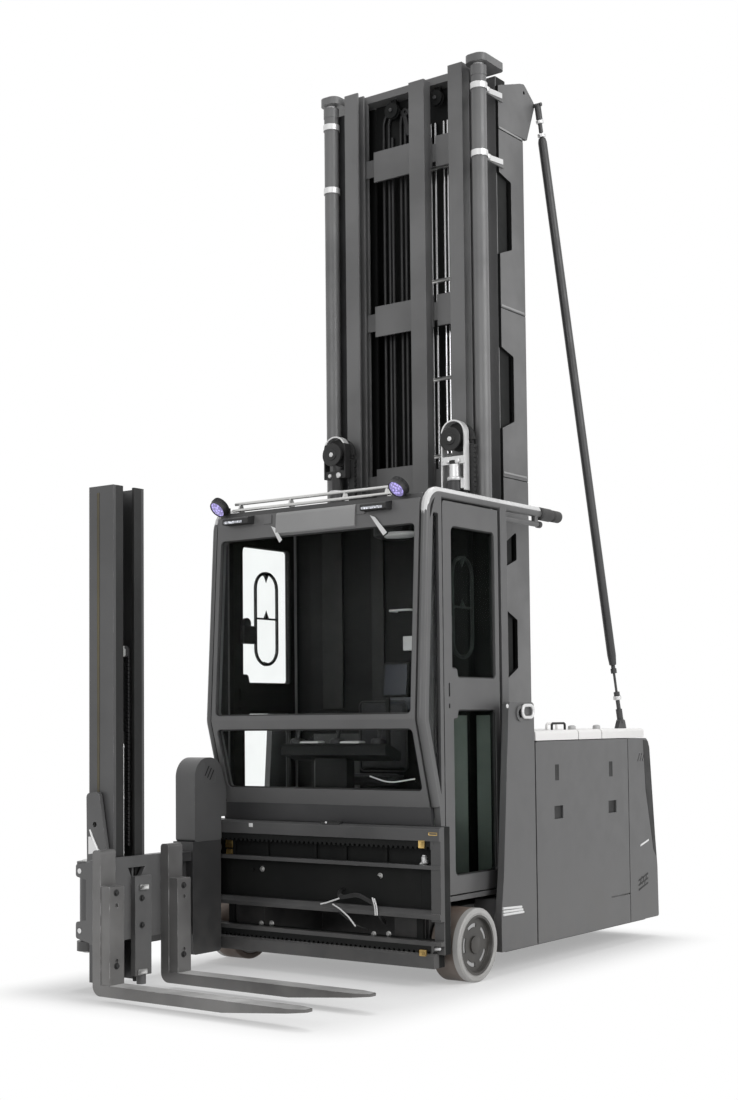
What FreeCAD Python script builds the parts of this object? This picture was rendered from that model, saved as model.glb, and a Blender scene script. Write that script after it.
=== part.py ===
import FreeCAD, Part
import math
import os
import Sketcher
from FreeCAD import Placement, Rotation, Vector

# Very narrow aisle truck, man-up, with a swinging and traversing fork head.
# Lengths are millimetres.  The truck frame has x = 0 on the centre line (+X is the
# truck's left), y = 0 just ahead of the cab (-Y is forwards) and z = 0 on the floor.
# Every finished node is then shifted so that the row's origin is the centre of the
# floor area that the truck covers.

doc = FreeCAD.newDocument("NarrowAisleTruck")
sheet = doc.addObject("Spreadsheet::Sheet", "Dims")

DIMENSIONS = {
    # where the row's origin lies in the truck frame
    "origin_x": 35.5, "origin_y": 754,
    # load wheels and drive wheel
    "load_wheel_y": 464, "load_wheel_radius": 193, "load_wheel_width": 178,
    "load_wheel_out": 866, "load_rim_radius": 160, "load_axle_radius": 30,
    "drive_wheel_y": 2150, "drive_wheel_radius": 200, "drive_wheel_width": 130,
    "drive_rim_radius": 165, "drive_axle_radius": 28,
    # chassis
    "side_x": 857, "side_wall": 40, "skirt_z": 124, "panel_top": 1250,
    "cover_low": 1254, "cover_top": 1312, "upright_front": 818, "upright_rear": 1089,
    "upright_top": 1470, "upright_toe": 742, "upright_toe_z": 510,
    "panel_front": 1102, "panel_seam": 2222, "rear_top": 2500, "rear_low": 2606,
    "rear_low_z": 442, "floor_low": 110, "floor_high": 150, "deck_low": 690,
    "leg_in": 450, "leg_out": 672, "leg_front": 290, "leg_rear": 1040, "leg_top": 372,
    "leg_low": 105, "eye_y": 935, "eye_z": 1408, "eye_radius": 26,
    # mast, fixed stage
    "plate_x": 550, "plate_wall": 20, "plate_front": 1305, "plate_rear": 1587,
    "plate_top": 4905, "foot_top": 210, "rail_top": 5255,
    "fixed_rail_in": 440, "fixed_rail_rear": 1415, "bracket_y": 1608, "bracket_z": 5202,
    "lift_x": 544, "lift_y": 1097, "lift_radius": 45, "lift_low": 240,
    "lift_top": 5200, "lift_bore": 31, "lift_rod_radius": 26,
    "stay_top_x": 575, "stay_top_y": 1728, "stay_top_z": 5158,
    "stay_foot_x": 722, "stay_foot_y": 2400, "stay_foot_z": 1345,
    # moving stages
    "rail_in": 334, "rail_out": 433, "web": 18, "flange": 14,
    "middle_front": 1196, "middle_rear": 1292, "inner_front": 1088, "inner_rear": 1166,
    "crossbar_rear": 1188, "crosshead_low": 5217, "crosshead_high": 5262, "hairline": 0.5,
    "ram_x": 428, "ram_y": 972, "ram_radius": 45, "ram_low": 480, "ram_top": 2748,
    "ram_bore": 38, "ram_rod_radius": 35, "sheave_z": 2986, "sheave_radius": 60,
    "chain_x": 84, "chain_y": 1016,
    # cab
    "cab_half": 751, "cab_wall": 40, "kink_y": 130, "kink_z": 1382, "frame_top": 2546,
    "roof_top": 2575, "cab_floor": 420, "sill_top": 446, "front_low": 918,
    "door_front": 342, "door_low": 454, "door_high": 2543, "door_pillar": 334,
    "hinge_x": 731, "hinge_y": 893, "post_front": 928, "post_rear": 997,
    "window_half": 677, "upper_low": 1409, "upper_high": 2414, "lower_low": 1003,
    "lower_high": 1334, "rear_wall_y": 875, "rear_wall_side_y": 934,
    "rear_wall_step": 565, "rear_wall_thick": 30,
    "tube_x": 728, "tube_z": 2577, "tube_radius": 24, "tube_rear": 1395,
    # traverse frame under the cab
    "beam_half": 830, "beam_low_half": 790, "beam_front": 156, "beam_rear": 256,
    "beam_top": 824, "beam_low": 101, "kick_y": 260,
    # turret
    "turret_out": 791, "turret_in": 647, "turret_front": -74, "turret_rear": 190,
    "turret_low": 712, "turret_arch": 1178, "arm_low": 200, "arm_high": 660,
    "pivot_x": 720, "pivot_y": -810, "pivot_radius": 45,
    # auxiliary mast and forks
    "aux_back": 600, "aux_face": 425, "aux_front": -920, "aux_rear": -700,
    "aux_low": 60, "aux_top": 2595, "aux_web": 16, "aux_rod_x": 462, "aux_rod_y": -830,
    "fork_back": 385, "fork_thick": 55, "fork_width": 105, "fork_front_y": -1105,
    "fork_rear_y": -622, "fork_low": 40, "fork_tip": 937, "fork_taper": 460,
    "fork_shank_top": 750, "carriage_low": 285, "carriage_high": 700,
}


class Size:
    """A length together with the expression on the sheet that gives it."""

    def __init__(self, number, text):
        self.number = float(number)
        self.text = text

    def __add__(self, other):
        other = size(other)
        return Size(self.number + other.number, "%s + %s" % (self.text, other.text))

    def __radd__(self, other):
        return size(other) + self

    def __sub__(self, other):
        other = size(other)
        return Size(self.number - other.number, "%s - (%s)" % (self.text, other.text))

    def __rsub__(self, other):
        return size(other) - self

    def __mul__(self, factor):
        return Size(self.number * factor, "(%s) * %r" % (self.text, factor))

    __rmul__ = __mul__

    def __truediv__(self, divisor):
        return self * (1.0 / divisor)

    def __neg__(self):
        return self * -1


def size(thing):
    """Takes a plain number or a Size and gives a Size."""
    return thing if isinstance(thing, Size) else Size(thing, "(%r)" % float(thing))


class Dims:
    """Every driving dimension, as a Size that names its cell."""


for row, (alias, number) in enumerate(DIMENSIONS.items(), start=1):
    sheet.set("A%d" % row, alias.replace("_", " "))
    sheet.set("B%d" % row, str(number))
    sheet.setAlias("B%d" % row, alias)
    setattr(Dims, alias, Size(number, "Dims." + alias))
doc.recompute()
D = Dims

# ---------------------------------------------------------------- shaping helpers

AXES = {"x": Vector(1, 0, 0), "y": Vector(0, 1, 0), "z": Vector(0, 0, 1)}
PLANES = {"XY": ("XY_Plane", 1), "XZ": ("XZ_Plane", -1), "YZ": ("YZ_Plane", 1)}


def place(item, x, y, z, rotation=None):
    """Sets an object's position, bound to the sheet, and its turn."""
    item.Placement = Placement(Vector(0, 0, 0), rotation or Rotation())
    for axis, length in zip("xyz", (x, y, z)):
        item.setExpression("Placement.Base." + axis, size(length).text)
    return item


def block(x, y, z):
    """A box between two values on each axis."""
    item = doc.addObject("Part::Box", "Block")
    for name, (low, high) in zip(("Length", "Width", "Height"), (x, y, z)):
        item.setExpression(name, (size(high) - low).text)
    return place(item, x[0], y[0], z[0])


def rod(axis, centre, radius, low, high):
    """A cylinder along one axis; centre holds the other two coordinates in order."""
    item = doc.addObject("Part::Cylinder", "Rod")
    item.setExpression("Radius", size(radius).text)
    item.setExpression("Height", (size(high) - low).text)
    spot = list(centre)
    spot.insert("xyz".index(axis), low)
    return place(item, *spot, rotation=Rotation(AXES["z"], AXES[axis]))


def fused(*items):
    """One shape of several objects."""
    items = flat(items)
    if len(items) == 1:
        return items[0]
    item = doc.addObject("Part::MultiFuse", "Joined")
    item.Shapes = items
    return item


def cut(base, *tools):
    """The base less its tools."""
    item = doc.addObject("Part::Cut", "Cut")
    item.Base = base
    item.Tool = fused(*tools)
    return item


def tube(axis, centre, outer, inner, low, high):
    """A hollow cylinder, open at both ends."""
    return cut(rod(axis, centre, outer, low, high),
               rod(axis, centre, inner, size(low) - 1, size(high) + 1))


def flat(items):
    """The objects of a nested list in one list."""
    found = []
    for item in items:
        found.extend(flat(item) if isinstance(item, (list, tuple)) else [item])
    return found


def both(*items):
    """The items and their mirror images across the centre line."""
    whole = fused(*items)
    twin = doc.addObject("Part::Mirroring", "Twin")
    twin.Source = whole
    twin.Base = Vector(0, 0, 0)
    twin.Normal = AXES["x"]
    return [whole, twin]


def corner_points(outline):
    """Line ends and arcs of an outline whose points may hold a third value, a radius."""
    pieces = []
    count = len(outline)
    for index, point in enumerate(outline):
        here = Vector(size(point[0]).number, size(point[1]).number, 0)
        radius = size(point[2]).number if len(point) > 2 else 0
        if not radius:
            pieces.append((here, here, None))
            continue
        before = outline[index - 1]
        after = outline[(index + 1) % count]
        back = Vector(size(before[0]).number, size(before[1]).number, 0) - here
        ahead = Vector(size(after[0]).number, size(after[1]).number, 0) - here
        back.normalize()
        ahead.normalize()
        half = math.acos(max(-1, min(1, back.dot(ahead)))) / 2
        reach = radius / math.tan(half)
        towards = (back + ahead).normalize()
        middle = here + towards * (radius / math.sin(half) - radius)
        pieces.append((here + back * reach, here + ahead * reach, middle))
    return pieces


def draw(sketch, outline):
    """Fills a sketch with a closed outline; its sharp corners are bound to the sheet."""
    pieces = corner_points(outline)
    lines = []
    for index, (_, leave, _) in enumerate(pieces):
        arrive = pieces[(index + 1) % len(pieces)][0]
        lines.append(sketch.addGeometry(Part.LineSegment(leave, arrive), False))
    for index, (arrive, leave, middle) in enumerate(pieces):
        previous, following = lines[index - 1], lines[index]
        if middle is None:
            sketch.addConstraint(Sketcher.Constraint("Coincident", previous, 2, following, 1))
            for kind, length in zip(("DistanceX", "DistanceY"), outline[index][:2]):
                length = size(length)
                if abs(length.number) < 1e-9:
                    continue
                spot = sketch.addConstraint(
                    Sketcher.Constraint(kind, -1, 1, following, 1, length.number))
                sketch.setExpression("Constraints[%d]" % spot, length.text)
        else:
            arc = sketch.addGeometry(Part.Arc(arrive, middle, leave), False)
            sketch.addConstraint(Sketcher.Constraint("Block", arc))


def sketch_on(body, plane, outline, offset):
    """A sketch of one outline, parallel to an origin plane of its own body."""
    role, sign = PLANES[plane]
    sketch = body.newObject("Sketcher::SketchObject", "Outline")
    origin_plane = [item for item in body.Origin.OriginFeatures if item.Role == role][0]
    sketch.AttachmentSupport = (origin_plane, "")
    sketch.MapMode = "FlatFace"
    sketch.setExpression("AttachmentOffset.Base.z", (size(offset) * sign).text)
    draw(sketch, outline)
    return sketch


def prism(plane, outline, low, high):
    """An outline in a plane, padded between two values along the third axis."""
    body = doc.addObject("PartDesign::Body", "Prism")
    start = high if PLANES[plane][1] < 0 else low
    pad = body.newObject("PartDesign::Pad", "Pad")
    pad.Profile = sketch_on(body, plane, outline, start)
    pad.setExpression("Length", (size(high) - low).text)
    return body


def turned(axis, centre, profile):
    """A profile of (along the axis, radius) points, turned a full circle."""
    body = doc.addObject("PartDesign::Body", "Turned")
    sketch = sketch_on(body, "XY", profile, 0)
    turn = body.newObject("PartDesign::Revolution", "Turn")
    turn.Profile = sketch
    turn.ReferenceAxis = (sketch, ["H_Axis"])
    turn.Angle = 360
    spot = list(centre)
    spot.insert("xyz".index(axis), 0)
    return place(body, *spot, rotation=Rotation(AXES["x"], AXES[axis]))


def bent_bar(points, radius, bend):
    """A round bar along straight runs joined by arcs of one bend radius."""
    spots = [Vector(*[size(part).number for part in point]) for point in points]
    edges = []
    start = spots[0]
    for before, here, after in zip(spots, spots[1:], spots[2:]):
        back = (before - here).normalize()
        ahead = (after - here).normalize()
        half = math.acos(max(-1, min(1, back.dot(ahead)))) / 2
        reach = bend / math.tan(half)
        middle = here + (back + ahead).normalize() * (bend / math.sin(half) - bend)
        edges.append(Part.LineSegment(start, here + back * reach).toShape())
        edges.append(Part.Arc(here + back * reach, middle, here + ahead * reach).toShape())
        start = here + ahead * reach
    edges.append(Part.LineSegment(start, spots[-1]).toShape())
    path = Part.Wire(edges)
    ring = Part.Wire(Part.makeCircle(radius, spots[0], spots[1] - spots[0]))
    item = doc.addObject("Part::Feature", "BentBar")
    item.Shape = path.makePipeShell([ring], True, True)
    return item


nodes = []


def node(label, *items):
    """Ends a sub-part: one labelled object, moved into the row's frame."""
    items = flat(items)
    if len(items) > 1:
        item = doc.addObject("Part::MultiFuse", "Node")
        item.Shapes = items
    else:
        item = doc.addObject("Part::Compound", "Node")
        item.Links = items
    item.Label = label
    place(item, -D.origin_x, -D.origin_y, 0)
    nodes.append(item)
    return item


def band(length, half):
    """A value less and plus a half width."""
    return (size(length) - half, size(length) + half)


def common(*items):
    """What the items share."""
    item = doc.addObject("Part::MultiCommon", "Shared")
    item.Shapes = flat(items)
    return item


def outline_body(points, axis, low, high):
    """A polygon of plain numbers, extruded along one axis without a sketch."""
    order = {"x": "yz", "y": "xz", "z": "xy"}[axis]
    corners = []
    for pair in points + points[:1]:
        spot = dict(zip(order, pair))
        spot[axis] = low
        corners.append(Vector(spot["x"], spot["y"], spot["z"]))
    item = doc.addObject("Part::Feature", "Extruded")
    item.Shape = Part.Face(Part.makePolygon(corners)).extrude(AXES[axis] * (high - low))
    return item


# ---------------------------------------------------------------- chassis


def make_chassis():
    """Floor plate, load legs, cross member and the deck that carries the drive."""
    wall_in = D.side_x - D.side_wall
    bay = 270
    floor = block((-wall_in, wall_in), (D.upright_front, D.rear_top), (D.floor_low, D.floor_high))
    wheel_bay = rod("z", (0, D.drive_wheel_y), bay, D.floor_low - 1, D.floor_high + 1)
    leg = prism("YZ", [
        (D.leg_front, 190, 60), (D.leg_front, D.leg_top, 30), (D.leg_rear, D.leg_top),
        (D.leg_rear, D.leg_low), (D.leg_front + 70, D.leg_low, 40)], D.leg_in, D.leg_out)
    guard_front = D.load_wheel_y + 235
    guard = prism("YZ", [
        (guard_front, D.skirt_z), (guard_front, 300, 60), (D.upright_toe, 400),
        (D.upright_rear, 400), (D.upright_rear, D.skirt_z)], D.leg_out, wall_in)
    axle = rod("x", (D.load_wheel_y, D.load_wheel_radius), D.load_axle_radius,
               D.leg_out - 1, D.load_wheel_out - 25)
    cross = block((-D.leg_in, D.leg_in), (D.upright_front, D.leg_rear), (D.leg_low, 300))
    mast_foot = block((-D.plate_x, D.plate_x), (D.plate_front, D.plate_rear),
                      (D.floor_high - 1, D.foot_top))
    deck_top = D.deck_low + 40
    turntable = tube("z", (0, D.drive_wheel_y), bay, 130, D.deck_low + 10, D.deck_low + 70)
    deck = cut(block((-wall_in, wall_in), (D.drive_wheel_y - 330, D.drive_wheel_y + 300),
                     (D.deck_low, deck_top)),
               rod("z", (0, D.drive_wheel_y), 130, D.deck_low - 10, deck_top + 10))
    post = block((wall_in - 30, wall_in), band(D.drive_wheel_y, 60),
                 (D.floor_high - 1, D.deck_low + 1))
    node("chassis_frame", cut(floor, wheel_bay), both(leg, guard, axle, post), cross,
         mast_foot, deck, turntable)


def make_uprights():
    """The plates beside the mast's front, wide at the foot, with a lifting eye each."""
    outline = [
        (D.upright_toe, D.upright_toe_z), (D.upright_front, D.upright_top, 25),
        (D.upright_rear, D.upright_top, 25), (D.upright_rear, D.skirt_z),
        (D.load_wheel_y + 250, D.skirt_z), (D.load_wheel_y + 250, 330, 60)]
    plate = prism("YZ", outline, D.side_x - D.side_wall, D.side_x)
    spot = (D.eye_y, D.eye_z)
    ring = rod("x", spot, D.eye_radius + 18, D.side_x - 5, D.side_x + 8)
    eye = rod("x", spot, D.eye_radius, D.side_x - 60, D.side_x + 10)
    node("front_uprights", both(cut(fused(plate, ring), eye)))


def make_side_panels():
    """Long side covers with their lifting slots and foot step."""
    wall_in = D.side_x - D.side_wall
    panel = prism("YZ", [
        (D.panel_front, D.skirt_z), (D.panel_front, D.panel_top, 20),
        (D.panel_seam, D.panel_top), (D.panel_seam, D.skirt_z)], wall_in, D.side_x)
    openings = [block((D.side_x - 8, D.side_x + 1), (1980, D.panel_seam + 1), (296, 304))]
    for middle in (1340, 1997):
        openings.append(block((wall_in - 1, D.side_x + 1), band(middle, 9), (1027, 1112)))
        openings.append(block((D.side_x - 12, D.side_x + 1), band(middle + 14, 51), (805, 879)))
    node("side_panels", both(cut(panel, openings)))


def make_rear_cover():
    """The tail: two side walls with slanted vents, a sloping back and the skirt."""
    wall_in = D.side_x - D.side_wall
    front = D.panel_seam + 8
    hull = prism("YZ", [
        (front, D.skirt_z), (front, D.panel_top), (D.rear_top, D.panel_top, 40),
        (D.rear_low, D.rear_low_z, 30), (D.rear_low + 7, D.skirt_z, 15)],
        -D.side_x, D.side_x)
    hollow = prism("YZ", [
        (D.panel_seam, D.skirt_z - 5), (D.panel_seam, D.panel_top + 5),
        (D.rear_top - 45, D.panel_top + 5), (D.rear_low - 55, D.rear_low_z),
        (D.rear_low - 45, D.skirt_z - 5)], -wall_in, wall_in)
    vents = []
    for base in (1105, 340):
        for step in range(3):
            start = 2352 + 32 * step
            vents.append(prism("YZ", [
                (start, base), (start + 9, base), (start + 39, base + 52),
                (start + 30, base + 52)], -D.side_x - 1, D.side_x + 1))
    node("rear_cover", cut(hull, hollow, vents))


def make_top_covers():
    """The pale lids over battery, mast foot and drive, with their handles."""
    half = D.side_x - 3

    def lid(inner, front, rear):
        """One lid between two distances from the centre line, its outer top edge round."""
        return prism("XZ", [(inner, D.cover_low), (inner, D.cover_top), (half, D.cover_top, 22),
                            (half, D.cover_low)], front, rear)

    def wide_lid(front, rear):
        """One lid over the truck's whole width."""
        return prism("XZ", [(-half, D.cover_low), (-half, D.cover_top, 22),
                            (half, D.cover_top, 22), (half, D.cover_low)], front, rear)

    side = cut(lid(D.plate_x + 25, D.panel_front + 6, D.plate_rear + 15),
               rod("z", (D.lift_x, D.lift_y), D.lift_radius + 14, D.cover_low - 1,
                   D.cover_top + 1))
    seat = D.cover_top.number - 4
    rise = 40
    handle = bent_bar([(700, 1500, seat), (700, 1500, seat + rise), (700, 1620, seat + rise),
                       (700, 1620, seat)], 7, 18)
    node("top_covers", wide_lid(D.plate_rear + 25, 1890), wide_lid(1900, 2452),
         both(side, handle))


def make_battery():
    """The battery, one plain block between the side covers behind the mast."""
    half = D.side_x - D.side_wall - 25
    node("battery", block((-half, half), (D.plate_rear + 20, 1810), (D.floor_high, 1230)))


# ---------------------------------------------------------------- fixed mast


def channel(front, rear, low, high, face_in, face_out):
    """A C-section mast rail on the left side, open towards the centre line."""
    web_in = size(face_out) - D.web
    return prism("XY", [
        (face_in, front), (face_out, front), (face_out, rear), (face_in, rear),
        (face_in, size(rear) - D.flange), (web_in, size(rear) - D.flange),
        (web_in, size(front) + D.flange), (face_in, size(front) + D.flange)], low, high)


def make_mast_plates():
    """Side plates of the fixed stage with their windows, ties and head brackets."""
    inner = D.plate_x - D.plate_wall
    plate = prism("YZ", [
        (D.plate_front, D.foot_top), (D.plate_front, D.plate_top),
        (D.plate_rear, D.plate_top), (D.plate_rear, D.foot_top)], inner, D.plate_x)
    depth = D.plate_front + 135
    windows = []
    for front_high, rear_high, rear_low, front_low in (
            (4628, 4597, 4186, 4136), (3576, 3538, 3147, 3091),
            (2410, 2487, 2319, 2268), (2021, 1963, 1678, 1605)):
        windows.append(prism("YZ", [
            (D.plate_front - 1, front_low), (D.plate_front - 1, front_high),
            (depth, rear_high, 12), (depth, rear_low, 12)], inner - 1, D.plate_x + 1))
    for seam in (4900, 3820, 2810):
        windows.append(block((D.plate_x - 3, D.plate_x + 1), (D.plate_front - 1, D.plate_rear + 1),
                             (seam - 12, seam - 6)))
    head = prism("YZ", [
        (D.plate_front, D.plate_top - 1), (D.plate_front, 5154), (1560, 5245, 20),
        (1610, 5257, 30), (1728, 5175, 20), (1728, 5140, 20), (1636, 4915)],
        inner, D.plate_x)
    head = cut(head, rod("x", (D.bracket_y, D.bracket_z), 11, inner - 10, D.plate_x + 10))
    ties = []
    for low in (300, 1350, 2560, 3620, 4700):
        ties.append(block((-inner + D.hairline, inner - D.hairline),
                          (D.plate_rear - 45, D.plate_rear - 15), (low, low + 160)))
    node("mast_side_plates", both(cut(plate, windows), head), ties)


def make_fixed_rails():
    """The first stage's C rails, and the ribbed sheet that closes the back of the mast."""
    inner = D.plate_x - D.plate_wall
    rails = channel(D.plate_front, D.fixed_rail_rear, D.foot_top, D.rail_top - 40,
                    D.fixed_rail_in, inner)
    half = inner - 5
    rear = D.plate_rear - 45
    back = block((-half, half), (rear - 4, rear), (1380, 5235))
    ribs = [block(band(x, 12), (rear - 12, rear - 3), (1380, 5235)) for x in (-330, 0, 330)]
    node("fixed_rails", both(rails), back, ribs)


def make_lift_cylinders():
    """The two main lift cylinders with their glands, clamps and straps."""
    spot = (D.lift_x, D.lift_y)
    barrel = tube("z", spot, D.lift_radius, D.lift_bore, D.lift_low, D.lift_top)
    foot = rod("z", spot, D.lift_radius + 3, D.lift_low - 60, D.lift_low + 10)
    stand = block((D.lift_x - 40, D.lift_x + 40), band(D.lift_y, 40),
                  (D.floor_high, D.lift_low - 40))
    gland = tube("z", spot, D.lift_radius + 3, D.lift_bore, D.lift_top - 60, D.lift_top)
    clamps = []
    for height in (5078, 4676):
        clamps.append(tube("z", spot, D.lift_radius + 4, D.lift_radius - 1,
                           height - 20, height + 20))
        clamps.append(block((D.plate_x, D.plate_x + 10), (D.lift_y + 38, D.plate_front + 40),
                            (height - 20, height + 20)))
    node("lift_cylinders", both(barrel, foot, stand, gland, clamps))


def make_stays():
    """The sloping stay rods from the mast's head to the tail, with their turnbuckles."""
    top = Vector(D.stay_top_x.number, D.stay_top_y.number, D.stay_top_z.number)
    foot = Vector(D.stay_foot_x.number, D.stay_foot_y.number, D.stay_foot_z.number)
    line = foot - top
    length = line.Length
    line.normalize()
    turn = Rotation(AXES["z"], line)
    pieces = []
    # each stretch: radius, where it starts and where it ends along the stay
    for radius, start, end in ((20, 0, 90), (13, 60, length - 330),
                               (19, length - 350, length - 320), (8, length - 340, length - 180),
                               (19, length - 200, length - 170), (13, length - 200, length - 50),
                               (20, length - 90, length)):
        item = doc.addObject("Part::Cylinder", "Stay")
        item.Radius = radius
        item.Height = end - start
        item.Placement = Placement(top + line * start, turn)
        pieces.append(item)
    pin = rod("x", (D.stay_top_y, D.stay_top_z), 12, D.plate_x, D.stay_top_x + 27)
    lug = prism("YZ", [
        (D.stay_foot_y - 60, D.cover_top), (D.stay_foot_y + 50, D.cover_top),
        (D.stay_foot_y + 30, D.stay_foot_z + 23, 20), (D.stay_foot_y - 30, D.stay_foot_z + 23, 20)],
        D.stay_foot_x - 14, D.stay_foot_x + 14)
    node("mast_stays", both(pieces, pin, lug))


# ---------------------------------------------------------------- moving mast stages


def make_middle_stage():
    """The second stage: its channels, ties, guide rollers, head plate and chain sheaves."""
    rail = channel(D.middle_front, D.middle_rear, D.foot_top + 10,
                   D.crosshead_low - D.hairline, D.rail_in, D.rail_out)
    ties = []
    for low in (260, 2600, 4900):
        ties.append(block((-D.rail_in + D.hairline, D.rail_in - D.hairline),
                          (D.middle_rear - D.flange, D.middle_rear + 6), (low, low + 200)))
    roller_y = (D.plate_front + D.fixed_rail_rear) / 2
    guides = []
    for height in (320, 900):
        guides.append(block((D.rail_out - D.web, D.rail_out),
                            (D.middle_rear + D.hairline, roller_y + 30),
                            (height - 50, height + 50)))
        guides.append(rod("x", (roller_y, height), 36, D.rail_out - 1, D.fixed_rail_in + 68))
    half = D.lift_x + 62
    lobe_in = D.lift_x - 75
    lobe_front = D.lift_y - 55
    bar = block((-lobe_in + D.hairline, lobe_in - D.hairline), (D.middle_front, D.middle_rear),
                (D.crosshead_low, D.crosshead_high))
    lobe = prism("XY", [
        (lobe_in, lobe_front, 50), (half, lobe_front, 50), (half, D.middle_rear, 30),
        (lobe_in, D.middle_rear)], D.crosshead_low, D.crosshead_high)
    sheaves = []
    for x in (-164, 164):
        sheaves.append(turned("y", (x, 5140), [
            (1206, 6), (1236, 6), (1236, 48), (1231, 48), (1228, 40), (1214, 40), (1211, 48),
            (1206, 48)]))
        sheaves.append(block(band(x, 20), (1236, 1252), (5110, D.crosshead_low + 1)))
        sheaves.append(rod("y", (x, 5140), 12, 1202, 1250))
    node("middle_rails", both(rail, guides, lobe), ties, bar, sheaves)


def make_lift_rods():
    """The main lift cylinders' bright rods, and the pipes and hoses on the second stage."""
    rods = both(rod("z", (D.lift_x, D.lift_y), D.lift_rod_radius, D.lift_low + 40,
                    D.crosshead_low))
    pipe_radius = 8
    pipes = [rod("z", (x, D.middle_rear - D.flange - pipe_radius), pipe_radius, 330, 5010)
             for x in (90, 124, 185, 212)]
    hose_radius = 11
    hoses = [rod("z", (x, D.middle_rear - D.flange - hose_radius), hose_radius, 330, 4990)
             for x in (-262, -222, -196, -132, -98, -40, 2)]
    node("lift_rods", rods, pipes, hoses)


def make_inner_stage():
    """The third stage: channels, cross bars, centre member and guide rollers."""
    rail = channel(D.inner_front, D.inner_rear, D.foot_top + 20, D.rail_top,
                   D.rail_in, D.rail_out)
    roller_y = (D.middle_front + D.middle_rear) / 2
    guides = []
    for height in (520, 940):
        span = (height - 45, height + 45)
        guides.append(block((D.rail_in - 22, D.rail_in + 6),
                            (D.inner_rear - D.flange, D.inner_rear + 14), span))
        guides.append(block((D.rail_in - 22, D.rail_in - 6),
                            (D.inner_rear - D.flange, roller_y + 26), span))
        guides.append(rod("x", (roller_y, height), 28, D.rail_in - 7, D.rail_out - D.web - 6))
    bars = []
    for low, high in ((4698, 4886), (3731, 3919), (2722, 2910), (300, 450)):
        back = (D.crossbar_rear - 8, D.crossbar_rear)
        face = (D.inner_rear + D.hairline, D.crossbar_rear - 7)
        bars.append(block((-D.rail_out + 20, D.rail_out - 20), back, (low + 40, high - 40)))
        bars.append(both(block((D.rail_out - 60, D.rail_out - 20),
                               (D.inner_rear + D.hairline, D.crossbar_rear),
                               (low + 40, high - 40))))
        bars.append(block((-270, 158), face, (low, high)))
        bars.append(block((190, D.rail_out - 20), face, (low, high)))
    front = D.inner_front + 8
    rear = D.inner_rear
    centre = prism("XY", [
        (45, front), (155, front), (155, rear), (145, rear), (145, front + 10),
        (55, front + 10), (55, rear), (45, rear)], 300, D.rail_top - 30)
    node("inner_rails", both(rail, guides), bars, centre)


def ribbed_strand(axis, centre, half, low, high, pitch):
    """A chain strand that stands upright, waisted between its links.

    The centre holds x and y; half holds the half width across the strand's face and the
    half thickness along the axis that its face looks down.
    """
    wide, thick = half
    across = centre[1] if axis == "x" else centre[0]
    along = centre[0] if axis == "x" else centre[1]
    near = []
    far = []
    for step in range(int((high - low) / pitch)):
        base = low + step * pitch
        for height, reach in ((base + 2, wide - 4), (base + 5, wide), (base + pitch - 5, wide),
                              (base + pitch - 2, wide - 4)):
            near.append((across - reach, height))
            far.append((across + reach, height))
    return outline_body(near + far[::-1], axis, along - thick, along + thick)


def free_lift_barrel(ram_x):
    """One free-lift barrel with its foot, straps and the guide that its chain runs in."""
    spot = (ram_x, D.ram_y)
    barrel = tube("z", spot, D.ram_radius, D.ram_bore, D.ram_low + 20, D.ram_top)
    gland = tube("z", spot, D.ram_radius + 5, D.ram_bore, D.ram_top - 60, D.ram_top - 12)
    low_foot = (D.ram_low - 40, D.ram_low + 30)
    foot = [block(band(ram_x, 48), (D.ram_y - 48, D.ram_y + 30), low_foot),
            block((ram_x - 32, ram_x - 2), (D.ram_y + 29, D.inner_front), low_foot)]
    straps = [block((ram_x - 32, ram_x - 2), (D.ram_y + D.ram_radius - 10, D.inner_front),
                    (low, low + 40)) for low in (1240, 2600)]
    chain_x = ram_x + D.chain_x
    gap = 28
    front = D.chain_y - 14
    rear = D.chain_y + 14
    guide = prism("XY", [
        (chain_x - gap - 3, front), (chain_x - gap, front), (chain_x - gap, rear),
        (chain_x + gap, rear), (chain_x + gap, front), (chain_x + gap + 3, front),
        (chain_x + gap + 3, rear + 2), (chain_x - gap - 3, rear + 2)], 560, 1950)
    brackets = [block((ram_x + 26, chain_x - gap - 1), (front + 1, front + 15),
                      (low, low + 30)) for low in (700, 1290, 1880)]
    return [barrel, gland, foot, straps, guide, brackets]


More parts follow.
